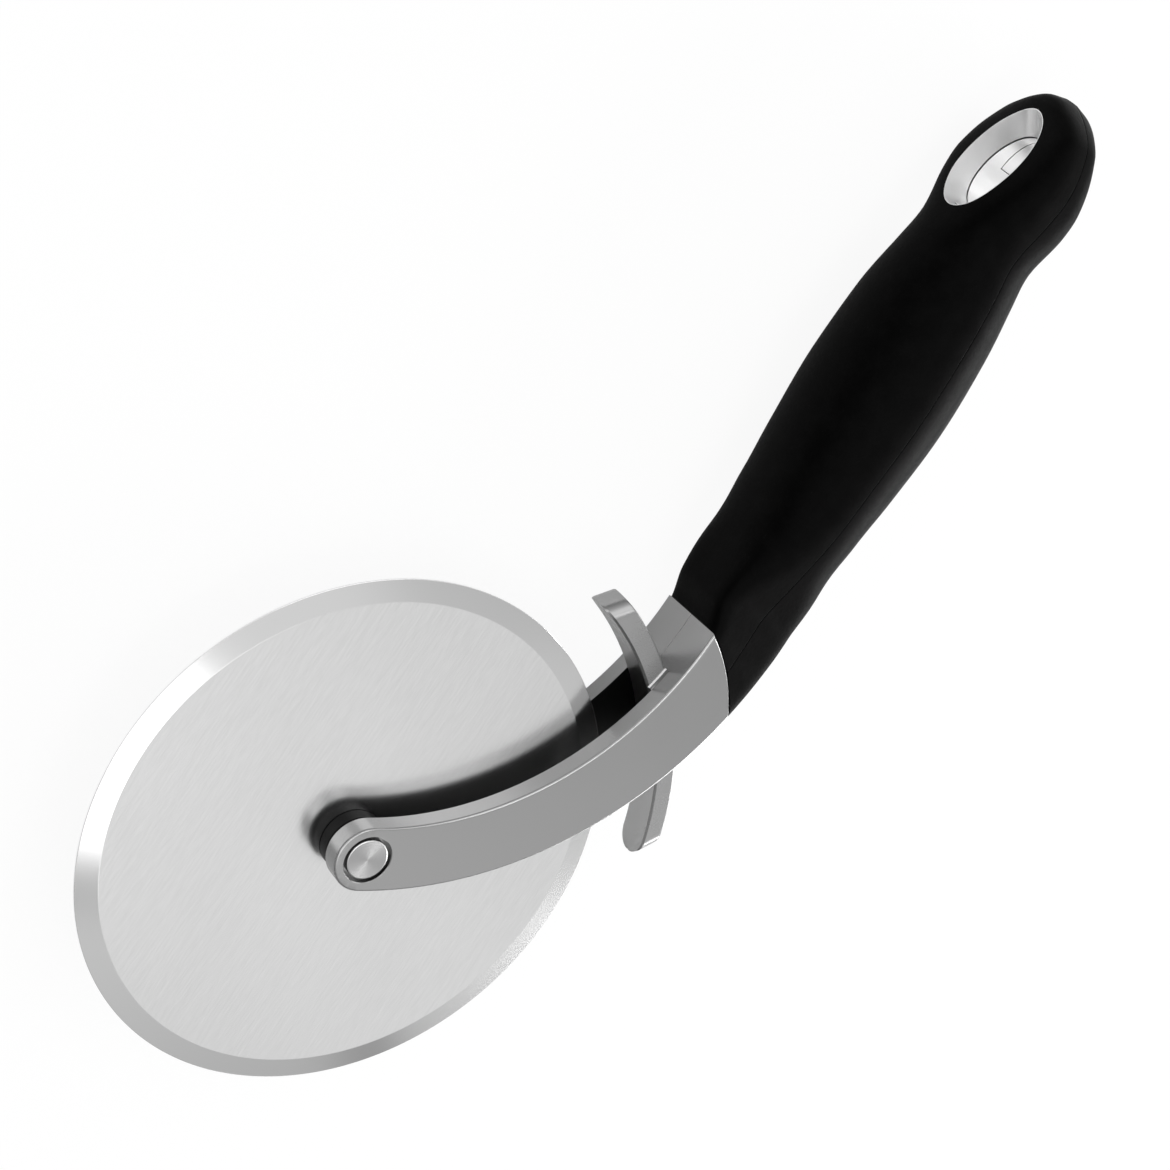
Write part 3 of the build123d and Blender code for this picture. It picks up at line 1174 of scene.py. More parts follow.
@dataclass
class Guard:
    """The curved finger guard, with slanted tongue-shaped ends.

    Attributes:
        fork: the fork that it stands in.
        inner_r: radius of the face towards the disc.
        thick: thickness at the upper end.
        outer_centre: centre of the outer face, a little off the axle.
        half_width: half its width along the axle.
        middle_deg: direction of its middle from the axle.
        half_span_deg: half the angle that it spans.
        slant: how much shorter the outer face is at each end.
        tip_r: radius of the tongue's corners.
        ridge: width of the chamfer along the inner face.
        corner: radius of the long outer corners.
        dish: depth of the inner face's hollow.
        bead: width of the fillet between its foot and the collar.
        bead_root: how deep the fillet is sunk in both.
        bead_shift: how far the fillet starts behind the inner face.
        bead_rings: sections of the fillet along the guard's thickness.
        steps: edges of the strip along its length.
    """

    fork: Fork
    inner_r: float
    thick: float
    half_width: float
    outer_centre: Vector = Vector((1.8, -0.65, 0.0))
    middle_deg: float = -43.65
    half_span_deg: float = 27.85
    slant: float = 2.2
    tip_r: float = 3.6
    ridge: float = 0.4
    corner: float = 0.3
    dish: float = 0.12
    bead: float = 0.62
    bead_root: float = 0.25
    bead_shift: float = 0.3
    bead_rings: int = 10
    steps: int = 120

    # Rise from the collar and reach from the strip of the fillet's hollow, as shares of its width.
    bead_curve = ((1.0, 0.0), (0.36, 0.22), (0.1, 0.62), (0.0, 1.0))

    def _fillet(self, shape: Shape, side: Side) -> None:
        """Adds the fillet that joins one side of the strip to the collar's upper edge.

        Args:
            shape: the mesh that it is added to.
            side: which side of the disc.
        """
        centre, radius = self.fork.upper_centre, self.fork.upper_r
        sunk, w, b = self.bead_root, self.half_width, self.bead
        section = [(-sunk, w - sunk), (b, w - sunk)]
        section += [(rise * b, w + reach * b) for rise, reach in self.bead_curve]
        section += [(-sunk, w + b)]
        loops = []
        start = self.inner_r + self.bead_shift
        for reach in spread(start, start + self.thick, self.bead_rings):
            foot = circles_meet(ORIGIN, reach, centre, radius)
            up = (centre - foot).normalized()
            loops.append(shape.loop(foot + up * rise + AXLE * (side.value * z) for rise, z in section))
        shape.bridge(*loops)
        shape.cover(loops[0])
        shape.cover(loops[-1])

    def _outer_r(self, angle: float) -> float:
        """Radius of the outer face from the axle.

        Args:
            angle: the direction, in radians from +X.

        Returns:
            The radius.
        """
        radius = self.inner_r + self.thick - self.outer_centre.length
        along = Vector((math.cos(angle), math.sin(angle), 0.0))
        shift = self.outer_centre.dot(along)
        return shift + math.sqrt(radius**2 - self.outer_centre.length_squared + shift**2)

    def build(self, fitter: Fitter) -> None:
        """Builds the strip, swung round the axle and drawn in to tongues at its ends.

        Args:
            fitter: turns a finished shape into its node's object.
        """
        shape = Shape()
        w, t, c, k = self.half_width, self.thick, self.ridge, self.corner
        half = [
            (self.dish, 0.0),
            (self.dish * 0.75, w * 0.45),
            (0.0, w - c),
            (c, w),
            (t - k, w),
            (t - 0.3 * k, w - 0.3 * k),
            (t, w - k),
            (t, w * 0.4),
        ]
        other = [(depth, -z) for depth, z in reversed(half) if z > 0]
        corners = half + [(t, 0.0)] + other
        verts = shape.loop(Vector((self.inner_r + depth, 0.0, z)) for depth, z in corners)
        span = math.radians(2 * self.half_span_deg)
        start = math.radians(self.middle_deg) - span / 2
        shape.spin(verts + shape.edges_of(verts), span, self.steps, merge=False)
        open_edges = [e for e in shape.bm.edges if e.is_boundary]
        bmesh.ops.holes_fill(shape.bm, edges=open_edges, sides=0)
        for vert in shape.bm.verts:
            self._form(vert, span, start)
        shape.merge()
        for side in Side:
            self._fillet(shape, side)
        shape.outwards()
        fitter.fit(shape, "finger_guard", "guard_steel", "guard", sharp_deg=24.0)

    def _form(self, vert: BMVert, span: float, start: float) -> None:
        """Moves one vertex of the swung strip to its place on the finished guard.

        Args:
            vert: the vertex, on the even strip.
            span: the angle that the strip spans.
            start: direction of the strip's lower end.
        """
        radius = vert.co.to_2d().length
        depth = (radius - self.inner_r) / self.thick
        turn = math.atan2(vert.co.y, vert.co.x)
        share = 2 * (turn / span) - 1
        eased = math.sin(share * math.pi / 2)
        length = self.inner_r * span / 2
        from_end = length * (1 - abs(eased))
        if from_end < self.tip_r:
            left = self.half_width - self.tip_r
            width = left + math.sqrt(max(self.tip_r**2 - (self.tip_r - from_end) ** 2, 0.0))
            vert.co.z *= width / self.half_width
        shorter = 1 - depth * self.slant / length
        angle = start + span / 2 + eased * shorter * span / 2
        outer = self._outer_r(angle)
        reach = self.inner_r + depth * (outer - self.inner_r)
        vert.co.x, vert.co.y = reach * math.cos(angle), reach * math.sin(angle)


# Axle


@dataclass
class Axle:
    """The pin with its near head, the far cap, and the two thrust washers.

    Attributes:
        half: height of an arm's outer face.
        inner: height of an arm's inner face.
        shank_r: radius of the pin.
        head_r: radius of a head.
        head_height: its height.
        chamfer: the head's edge.
        recess_depth: depth of the arm's recess.
        spigot_r: radius of the spigot in the far cap.
        spigot_length: its length.
        washer_r: radius of a washer.
        washer_thick: its thickness.
        washer_edge: its edge break.
        clearance: between the washer and the shank.
    """

    half: float
    inner: float
    shank_r: float = 2.6
    head_r: float = 3.92
    head_height: float = 1.86
    chamfer: float = 0.25
    recess_depth: float = 2.0
    spigot_r: float = 1.6
    spigot_length: float = 1.3
    washer_r: float = 5.6
    washer_thick: float = 0.8
    washer_edge: float = 0.12
    clearance: float = 0.02

    def _head(self) -> list[tuple[float, float]]:
        """Profile of a head's top and side, from the axis outwards and down.

        Returns:
            (radius, z) of each corner.
        """
        base = self.half - self.recess_depth
        top = base + self.head_height
        c = self.chamfer
        return [
            (0.0, top),
            (self.head_r * 0.5, top),
            (self.head_r - c, top),
            (self.head_r - 0.3 * c, top - 0.3 * c),
            (self.head_r, top - c),
            (self.head_r, base),
        ]

    def build(self, fitter: Fitter) -> None:
        """Builds pin, cap and washers.

        Args:
            fitter: turns a finished shape into its node's object.
        """
        base = self.half - self.recess_depth
        end = -base - self.spigot_length
        pin = Shape()
        shank = [(self.shank_r, base), (self.shank_r, -base)]
        spigot = [(self.spigot_r, -base), (self.spigot_r, end), (0.0, end)]
        pin.lathe(self._head() + shank + spigot)
        fitter.fit(pin, "axle_pin", "turned_steel", "turned", sharp_deg=20.0)

        hole = self.spigot_r + self.clearance
        cap = Shape()
        bore = [(hole, base), (hole, base + self.spigot_length), (0.0, base + self.spigot_length)]
        cap.lathe([(r, -z) for r, z in self._head() + bore])
        fitter.fit(cap, "axle_cap", "turned_steel", "turned", sharp_deg=20.0)

        for side, name in ((Side.NEAR, "thrust_washer_near"), (Side.FAR, "thrust_washer_far")):
            self._washer(side, name, fitter)

    def _washer(self, side: Side, name: str, fitter: Fitter) -> None:
        """One washer with softened edges.

        Args:
            side: which side of the disc it lies on.
            name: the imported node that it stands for.
            fitter: turns a finished shape into its node's object.
        """
        low, high, e = self.inner - self.washer_thick, self.inner, self.washer_edge
        bore = self.shank_r + self.clearance
        profile = [
            (bore, low + e),
            (bore + e, low),
            (self.washer_r - e, low),
            (self.washer_r, low + e),
            (self.washer_r, high - e),
            (self.washer_r - e, high),
            (bore + e, high),
            (bore, high - e),
        ]
        shape = Shape()
        shape.lathe([(r, side.value * z) for r, z in profile])
        fitter.fit(shape, name, "washer_plastic", "washer")


# Handle


class Half(Enum):
    """The two halves that the handle is split into along its parting plane."""

    UPPER = 1
    LOWER = -1


@dataclass
class Handle:
    """The soft-touch handle: two skins over the cores, parted lengthways, with a hanging eye.

    Attributes:
        fork: the fork that the handle joins.
        length: of the handle along its axis.
        swell: half-width of the swell.
        drop: how far its axis starts below the joint's middle.
        tilt_deg: how much the axis rises towards the head.
        wall: thickness of the skin; not used.
        joint_gap: between the collar and the handle.
        parting: depth of the groove at the parting line.
        front_reach: how far from the joint the rings turn from its curve to straight ones.
        around: points of one ring.
        face_rings: rings that close the joint's face.
        front_rings: rings from there to the front_reach.
        along: rings from there to the head, with the last of the front.
        face_scales: sizes of the innermost and the outermost ring of the joint's face.
        tries: how often a ring's place on the joint's curved face is put right.
    """

    fork: Fork
    length: float = 113.2
    swell: float = 14.0
    drop: float = 0.54
    tilt_deg: float = 1.0
    wall: float = 2.6
    joint_gap: float = 0.1
    parting: float = 0.16
    front_reach: float = 22.0
    around: int = 80
    face_rings: int = 12
    front_rings: int = 36
    along: int = 96
    face_scales: tuple[float, float] = (0.04, 0.96)
    tries: int = 5

    # Place along the handle, half-width, height above the axis and below it as shares, and the power of
    # the rounded outline: 2 is an ellipse, and more is squarer. The first rows are shares of the fork's
    # half-width, and the others of the length and of the swell.
    front_shares = (
        (-1.70, 1.00, 0.93, 0.83, 9.0),
        (-0.85, 1.00, 0.94, 0.99, 9.0),
        (0.00, 1.00, 0.96, 1.08, 9.0),
    )
    rear_shares = (
        (0.056, 0.58, 0.73, 0.665, 8.0),
        (0.144, 0.74, 0.755, 0.67, 3.5),
        (0.232, 0.88, 0.82, 0.72, 2.5),
        (0.321, 0.935, 0.925, 0.835, 2.25),
        (0.453, 0.995, 1.025, 0.915, 2.1),
        (0.586, 0.945, 1.01, 0.855, 2.1),
        (0.674, 0.855, 0.91, 0.76, 2.1),
        (0.736, 0.77, 0.815, 0.665, 2.4),
        (0.807, 0.885, 0.73, 0.61, 3.25),
        (0.851, 0.94, 0.635, 0.51, 3.8),
        (0.895, 0.895, 0.54, 0.415, 3.8),
        (0.939, 0.745, 0.45, 0.34, 3.5),
        (0.957, 0.615, 0.43, 0.335, 3.2),
        (0.974, 0.43, 0.415, 0.345, 2.8),
        (0.988, 0.225, 0.335, 0.29, 2.4),
        (0.996, 0.07, 0.12, 0.09, 2.2),
    )

    def __post_init__(self) -> None:
        """Works out the handle's own frame and its sections in millimetres."""
        joint = (self.fork.joint_top.y + self.fork.joint_bottom.y) / 2
        origin = Vector((self.fork.joint_top.x, joint - self.drop, 0.0))
        turn = Matrix.Rotation(math.radians(self.tilt_deg), 4, "Z")
        self.frame = Matrix.Translation(origin) @ turn
        self.joint_middle = self.frame.inverted() @ self.fork.joint_centre
        collar = self.fork.half
        self.stations = [
            (x * collar, w * collar, a * collar, b * collar, p) for x, w, a, b, p in self.front_shares
        ] + [
            (x * self.length, w * self.swell, a * self.swell, b * self.swell, p)
            for x, w, a, b, p in self.rear_shares
        ]

    def section(self, x: float) -> tuple[float, float, float, float]:
        """Half-width, height above, height below and power at a place along the handle.

        Args:
            x: the place along the handle's axis.

        Returns:
            The four values, on a smooth curve through the stations.
        """
        rows = self.stations
        i = max(k for k in range(len(rows) - 1) if rows[k][0] <= x or k == 0)
        before, here = rows[max(i - 1, 0)], rows[i]
        after, beyond = rows[i + 1], rows[min(i + 2, len(rows) - 1)]
        step = after[0] - here[0]
        t = (x - here[0]) / step
        values = []
        for k in range(1, 5):
            rise = after[k] - here[k]
            slope_in = (after[k] - before[k]) / (after[0] - before[0]) * step
            slope_out = (beyond[k] - here[k]) / (beyond[0] - here[0]) * step
            low, high = min(rise * 3, 0.0), max(rise * 3, 0.0)
            slope_in = max(low, min(high, slope_in))
            slope_out = max(low, min(high, slope_out))
            value = (
                (2 * t**3 - 3 * t**2 + 1) * here[k]
                + (t**3 - 2 * t**2 + t) * slope_in
                + (3 * t**2 - 2 * t**3) * after[k]
                + (t**3 - t**2) * slope_out
            )
            values.append(value)
        return tuple(values)

    def form(self, grow: float = 0.0) -> Shape:
        """The handle's outer form as a closed solid, in the handle's own frame.

        Args:
            grow: how far it is grown outwards, or drawn in where negative.

        Returns:
            The solid, with the parting plane at y = 0.
        """
        shape = Shape()
        end = self.stations[-1][0]
        near = self.front_reach
        shares = spread(0.0, 1.0, self.front_rings)
        front = [self._ring(shape, share, near, grow=grow) for share in shares]
        eased = [math.sin(share * math.pi / 2) for share in spread(0.0, 1.0, self.along)[1:]]
        rear = [self._ring(shape, share, end, start=near, grow=grow) for share in eased]
        scales = spread(*self.face_scales, self.face_rings)
        face = [self._ring(shape, 0.0, near, grow=grow, scale=scale) for scale in scales]
        shape.bridge(*face, *front, *rear)
        shape.cover(face[0])
        shape.cover(rear[-1])
        shape.outwards()
        return shape

    def joint_place(self, y: float) -> float:
        """Where the joint's curved face lies along the handle, at a height over its axis."""
        radius = self.fork.joint_r + self.joint_gap
        return self.joint_middle.x + math.sqrt(radius**2 - (y - self.joint_middle.y) ** 2)

    def _ring(
        self,
        shape: Shape,
        blend: float,
        end: float,
        start: float | None = None,
        grow: float = 0.0,
        scale: float = 1.0,
    ) -> Loop:
        """One ring of the form.

        Args:
            shape: the mesh that it is drawn in.
            blend: the ring's share of the way from start to end.
            end: place along the handle at a share of 1.
            start: place at a share of 0, or None for the joint's curved face.
            grow: how far the ring is grown outwards.
            scale: size of the ring, under 1 for the rings that close the joint's face.

        Returns:
            The ring's vertices.
        """
        ring = shape.circle(1.0, 0.0, self.around)
        for vert in ring:
            side, up = vert.co.x, vert.co.y
            x, y, z = (start or 0.0), 0.0, 0.0
            # A point's place on the joint's curved face depends on its height, and its height on
            # its place.
            for _ in range(1 if start is not None else self.tries):
                low = self.joint_place(y) if start is None else start
                x = low + (end - low) * blend
                width, above, below, power = self.section(x)
                height = (above if up > 0 else below) + grow
                y = math.copysign(abs(up) ** (2 / power), up) * height * scale
                z = math.copysign(abs(side) ** (2 / power), side) * (width + grow) * scale
            vert.co = Vector((x, y, z))
        return ring

    def build(self, eye: "HangingEye", fitter: Fitter) -> None:
        """Builds both skins.

        Args:
            eye: the eyelet that they leave room for.
            fitter: turns a finished shape into its node's object.
        """
        for half, name in ((Half.UPPER, "grip_upper"), (Half.LOWER, "grip_lower")):
            shape = self._half(half)
            shape = carved(shape, eye.opening(), Cut.AWAY)
            shape.merge()
            shape.place(self.frame)
            fitter.fit(shape, name, "soft_grip", "grip", sharp_deg=38.0)

    def _half(self, half: Half) -> Shape:
        """One half of the form, with a softened edge along the parting line.

        Args:
            half: the upper or the lower one.

        Returns:
            The closed mesh, in the handle's own frame.
        """
        shape = self.form()
        cut = bmesh.ops.bisect_plane(
            shape.bm,
            geom=shape.bm.verts[:] + shape.bm.edges[:] + shape.bm.faces[:],
            dist=MERGE_DISTANCE,
            plane_co=(0.0, 0.0, 0.0),
            plane_no=(0.0, -half.value, 0.0),
            clear_outer=True,
        )
        edges = [e for e in cut["geom_cut"] if isinstance(e, bmesh.types.BMEdge)]
        bmesh.ops.holes_fill(shape.bm, edges=edges, sides=0)
        rim = [e for e in shape.bm.edges if all(abs(v.co.y) < MERGE_DISTANCE for v in e.verts)]
        bmesh.ops.bevel(
            shape.bm,
            geom=rim,
            offset=self.parting,
            offset_type="OFFSET",
            segments=2,
            profile=0.5,
            affect="EDGES",
            material=-1,
        )
        shape.outwards()
        return shape


# Hanging eye


@dataclass
class HangingEye:
    """The plated eyelet through the handle's head: two flares and a sleeve in two stepped pieces.

    Attributes:
        handle: the handle that it goes through.
        from_end: distance of its middle from the handle's end.
        half_length: half the sleeve's opening along the handle.
        half_width: half the opening across the handle.
        wall: thickness of the metal.
        seam_height: height of the seam between sleeve and flare above the parting plane.
        tilt_deg: how much the upper flare leans towards the head.
        flare_height: height at which the flare has its mouth sizes.
        mouth_length: half the mouth along the handle.
        mouth_width: half the mouth across it.
        step: how much lower the sleeve's split lies on the waist's side.
        step_place: where it steps, from the eye's middle towards the head.
        proud: how far the rim stands over the grip.
        seam_gap: width of the dark line between flare and sleeve.
        split_gap: width of the line between the two sleeve pieces.
        rim_wall: thickness of the flare's metal at its rim.
        thinning: height over the seam at which the metal has that thickness.
        mark_height: height over the seam of the slot at the flare's end.
        mark_size: half the slot's size: into the wall, along it and upwards.
        overrun: how far a flare is drawn past its mouth before it is trimmed.
        cut_overrun: how far the cutter of its room reaches past its mouth.
        play: between the eyelet and the grip.
        around: points of one ring.
        opening_rings: rings of the room over each seam, up to the thinning and above it.
        flare_rings: the same for a flare.
    """

    handle: Handle
    from_end: float = 17.2
    half_length: float = 8.2
    half_width: float = 6.05
    wall: float = 0.6
    seam_height: float = 3.9
    tilt_deg: float = 13.0
    flare_height: float = 9.0
    mouth_length: float = 13.7
    mouth_width: float = 7.1
    step: float = 3.0
    step_place: float = 0.8
    proud: float = 0.03
    seam_gap: float = 0.36
    split_gap: float = 0.18
    rim_wall: float = 0.12
    thinning: float = 1.6
    mark_height: float = 2.9
    mark_size: Triple = (0.9, 1.25, 0.32)
    overrun: float = 2.5
    cut_overrun: float = 3.0
    play: float = 0.01
    around: int = 128
    opening_rings: tuple[int, int] = (4, 7)
    flare_rings: tuple[int, int] = (5, 18)

    @property
    def _middle(self) -> float:
        """Place of the eye's middle along the handle."""
        return self.handle.length - self.from_end

    def _place(self, height: float = 0.0, lean_deg: float = 0.0) -> Matrix:
        """Place of an oval's own frame over the parting plane; its Z axis points out of the head.

        Args:
            height: of the frame's origin over the parting plane.
            lean_deg: how much its Z axis leans towards the head.

        Returns:
            The matrix.
        """
        lean = Matrix.Rotation(math.radians(-lean_deg), 4, "Z")
        level = Matrix.Rotation(-math.pi / 2, 4, "X")
        return Matrix.Translation((self._middle, height, 0.0)) @ lean @ level

    def _seam_place(self, half: Half) -> Matrix:
        """Place of a flare's own frame, where it meets the sleeve.

        Args:
            half: the upper or the lower one.

        Returns:
            The matrix.
        """
        place = self._place(self.seam_height, self.tilt_deg)
        if half is Half.LOWER:
            place = Matrix.Scale(-1.0, 4, (0.0, 1.0, 0.0)) @ place
        return place

    def _oval(self, shape: Shape, size: tuple[float, float], z: float, place: Matrix) -> Loop:
        """An oval loop at a height of its own frame.

        Args:
            shape: the mesh that it is drawn in.
            size: half its length and half its width.
            z: the height.
            place: place of its frame on the handle.

        Returns:
            The loop's vertices.
        """
        length, width = size
        ring = shape.circle(1.0, 0.0, self.around)
        for vert in ring:
            vert.co = Vector((vert.co.x * length, vert.co.y * width, z))
        bmesh.ops.transform(shape.bm, matrix=place, verts=ring)
        return ring

    def _flare_sizes(self, z: float, grow: float) -> tuple[float, float]:
        """Half-length and half-width of the flare's opening at a height, grown by a wall.

        Args:
            z: the height over the seam.
            grow: the thickness of the wall.

        Returns:
            The half-length and the half-width.
        """
        share = z / self.flare_height
        seam_length = self.half_length / math.cos(math.radians(self.tilt_deg))
        length = seam_length + (self.mouth_length - seam_length) * share
        width = self.half_width + (self.mouth_width - self.half_width) * share
        return length + grow, width + grow

    def _wall_at(self, z: float) -> float:
        """Thickness of the flare's metal at a height."""
        share = min(z / self.thinning, 1.0)
        return self.wall + (self.rim_wall - self.wall) * share

    def _levels(self, low: float, high: float, below: int, above: int) -> list[float]:
        """Heights of rings over a seam, up to the thinning and above it."""
        return spread(low, self.thinning, below) + spread(self.thinning, high, above)[1:]

    def opening(self) -> Shape:
        """The whole room that the eyelet takes in the head, in the handle's own frame.

        Returns:
            The closed mesh that is cut out of the grip.
        """
        shape = Shape()
        levels = self._levels(0.0, self.flare_height + self.cut_overrun, *self.opening_rings)
        rows = [(Half.LOWER, z) for z in reversed(levels)] + [(Half.UPPER, z) for z in levels]
        loops = []
        for half, z in rows:
            size = self._flare_sizes(z, self._wall_at(z) + self.play)
            loops.append(self._oval(shape, size, z, self._seam_place(half)))
        shape.bridge(*loops)
        shape.cover(loops[0])
        shape.cover(loops[-1])
        shape.outwards()
        return shape

    def build(self, fitter: Fitter) -> None:
        """Builds flares and sleeve.

        Args:
            fitter: turns a finished shape into its node's object.
        """
        for half, name in ((Half.UPPER, "eyelet_flare_upper"), (Half.LOWER, "eyelet_flare_lower")):
            self._flare(half, name, fitter)
        for half, name in ((Half.UPPER, "eyelet_sleeve_upper"), (Half.LOWER, "eyelet_sleeve_lower")):
            self._sleeve(half, name, fitter)

    def _flare(self, half: Half, name: str, fitter: Fitter) -> None:
        """One flare, trimmed to the head's surface with a hair of it standing proud.

        Args:
            half: the upper or the lower one.
            name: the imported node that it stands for.
            fitter: turns a finished shape into its node's object.
        """
        shape = Shape()
        low, high = self.seam_gap / 2, self.flare_height + self.overrun
        heights = self._levels(low, high, *self.flare_rings)
        rows = [(z, 0.0) for z in heights] + [(z, self._wall_at(z)) for z in reversed(heights)]
        place = self._seam_place(half)
        loops = [self._oval(shape, self._flare_sizes(z, grow), z, place) for z, grow in rows]
        shape.bridge(*loops, loops[0])
        shape.outwards()
        shape = carved(shape, self.handle.form(self.proud), Cut.INSIDE)
        shape = carved(shape, self._end_mark(half), Cut.AWAY)
        self._finish(shape, name, fitter)

    def _finish(self, shape: Shape, name: str, fitter: Fitter) -> None:
        """Moves a piece of the eyelet onto the handle and fits it.

        Args:
            shape: the piece, in the handle's own frame.
            name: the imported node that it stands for.
            fitter: turns a finished shape into its node's object.
        """
        shape.merge()
        shape.place(self.handle.frame)
        fitter.fit(shape, name, "eyelet_metal", "eyelet", sharp_deg=40.0)

    def _end_mark(self, half: Half) -> Shape:
        """The small oblong slot through the flare at the waist's side, as a cutter.

        Args:
            half: the upper or the lower one.

        Returns:
            The closed mesh.
        """
        shape = Shape()
        bmesh.ops.create_uvsphere(shape.bm, u_segments=24, v_segments=12, radius=1.0)
        length, _ = self._flare_sizes(self.mark_height, 0.0)
        place = Matrix.Translation((-length, 0.0, self.mark_height))
        shape.place(self._seam_place(half) @ place @ Matrix.Diagonal((*self.mark_size, 1.0)))
        shape.outwards()
        return shape

    def _sleeve(self, half: Half, name: str, fitter: Fitter) -> None:
        """One sleeve piece: the tube on its own side of the stepped split.

        Args:
            half: the upper or the lower one.
            name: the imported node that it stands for.
            fitter: turns a finished shape into its node's object.
        """
        shift = half.value * self.split_gap / 2
        left, split, right = -FAR_OFF, self.step_place - shift, FAR_OFF
        low, beyond = shift - self.step, half.value * FAR_OFF
        outline = [(left, low), (split, low), (split, shift), (right, shift)]
        outline += [(right, beyond), (split, beyond), (left, beyond)]
        block = Shape()
        corners = [Vector((self._middle + x, y, -FAR_OFF / 2)) for x, y in outline]
        face = block.bm.faces.new([block.start(corner) for corner in corners])
        top = bmesh.ops.extrude_face_region(block.bm, geom=[face], use_keep_orig=True)
        moved = [v for v in top["geom"] if isinstance(v, BMVert)]
        bmesh.ops.translate(block.bm, verts=moved, vec=AXLE * FAR_OFF)
        block.outwards()
        self._finish(carved(self._tube(), block, Cut.INSIDE), name, fitter)

    def _tube(self) -> Shape:
        """The whole sleeve between the two seams, in the handle's own frame.

        Returns:
            The closed mesh.
        """
        shape = Shape()
        faces = []
        for grow in (0.0, self.wall):
            seam = self._flare_sizes(0.0, grow)
            middle = (self.half_length + grow, self.half_width + grow)
            rows = (
                (seam, -self.seam_gap / 2, self._seam_place(Half.LOWER)),
                (middle, 0.0, self._place()),
                (seam, -self.seam_gap / 2, self._seam_place(Half.UPPER)),
            )
            faces.append([self._oval(shape, *row) for row in rows])
        inner, outer = faces
        shape.bridge(*inner, *reversed(outer), inner[0])
        shape.outwards()
        return shape


# Studio


@dataclass(frozen=True)
class Lamp:
    """A soft rectangular lamp.

    Attributes:
        name: of the lamp.
        place: of its middle, in metres.
        target: the point that it looks at.
        size: of the rectangle.
        power: in watts.
        turn_deg: turn of the rectangle in its own plane.
    """

    name: str
    place: Triple
    target: Triple
    size: tuple[float, float]
    power: float
    turn_deg: float = 0.0

    def build(self) -> None:
        """Hangs the lamp in the scene."""
        data = bpy.data.lights.new(self.name, "AREA")
        data.shape = "RECTANGLE"
        data.size, data.size_y = self.size
        data.energy = self.power
        lamp = bpy.data.objects.new(self.name, data)
        way = Vector(self.target) - Vector(self.place)
        turn = way.to_track_quat("-Z", "Y").to_matrix().to_4x4()
        spun = Matrix.Rotation(math.radians(self.turn_deg), 4, "Z")
        lamp.matrix_world = Matrix.Translation(self.place) @ turn @ spun
        bpy.context.scene.collection.objects.link(lamp)


LAMPS = (
    Lamp("panel_high", (-0.3, -0.1, 1.0), (-0.3, -0.1, 0.0), (0.36, 0.7), 0.8),
    Lamp("window_front", (0.0, 0.75, 1.0), (0.0, 0.0, 0.0), (0.9, 0.5), 1.3),
    Lamp("window_right", (0.85, 0.05, 1.0), (0.0, 0.0, 0.0), (0.6, 0.6), 0.7),
    Lamp("strip_edge", (0.16, -0.07, 1.0), (0.16, -0.07, 0.0), (0.6, 0.17), 1.05, -36.0),
    Lamp("panel_joint", (0.76, -0.38, 0.22), (0.055, -0.02, 0.0), (0.55, 0.35), 0.55),
    Lamp("panel_low", (0.15, -1.1, 0.32), (0.1, 0.0, 0.0), (1.1, 0.35), 10.0),
)


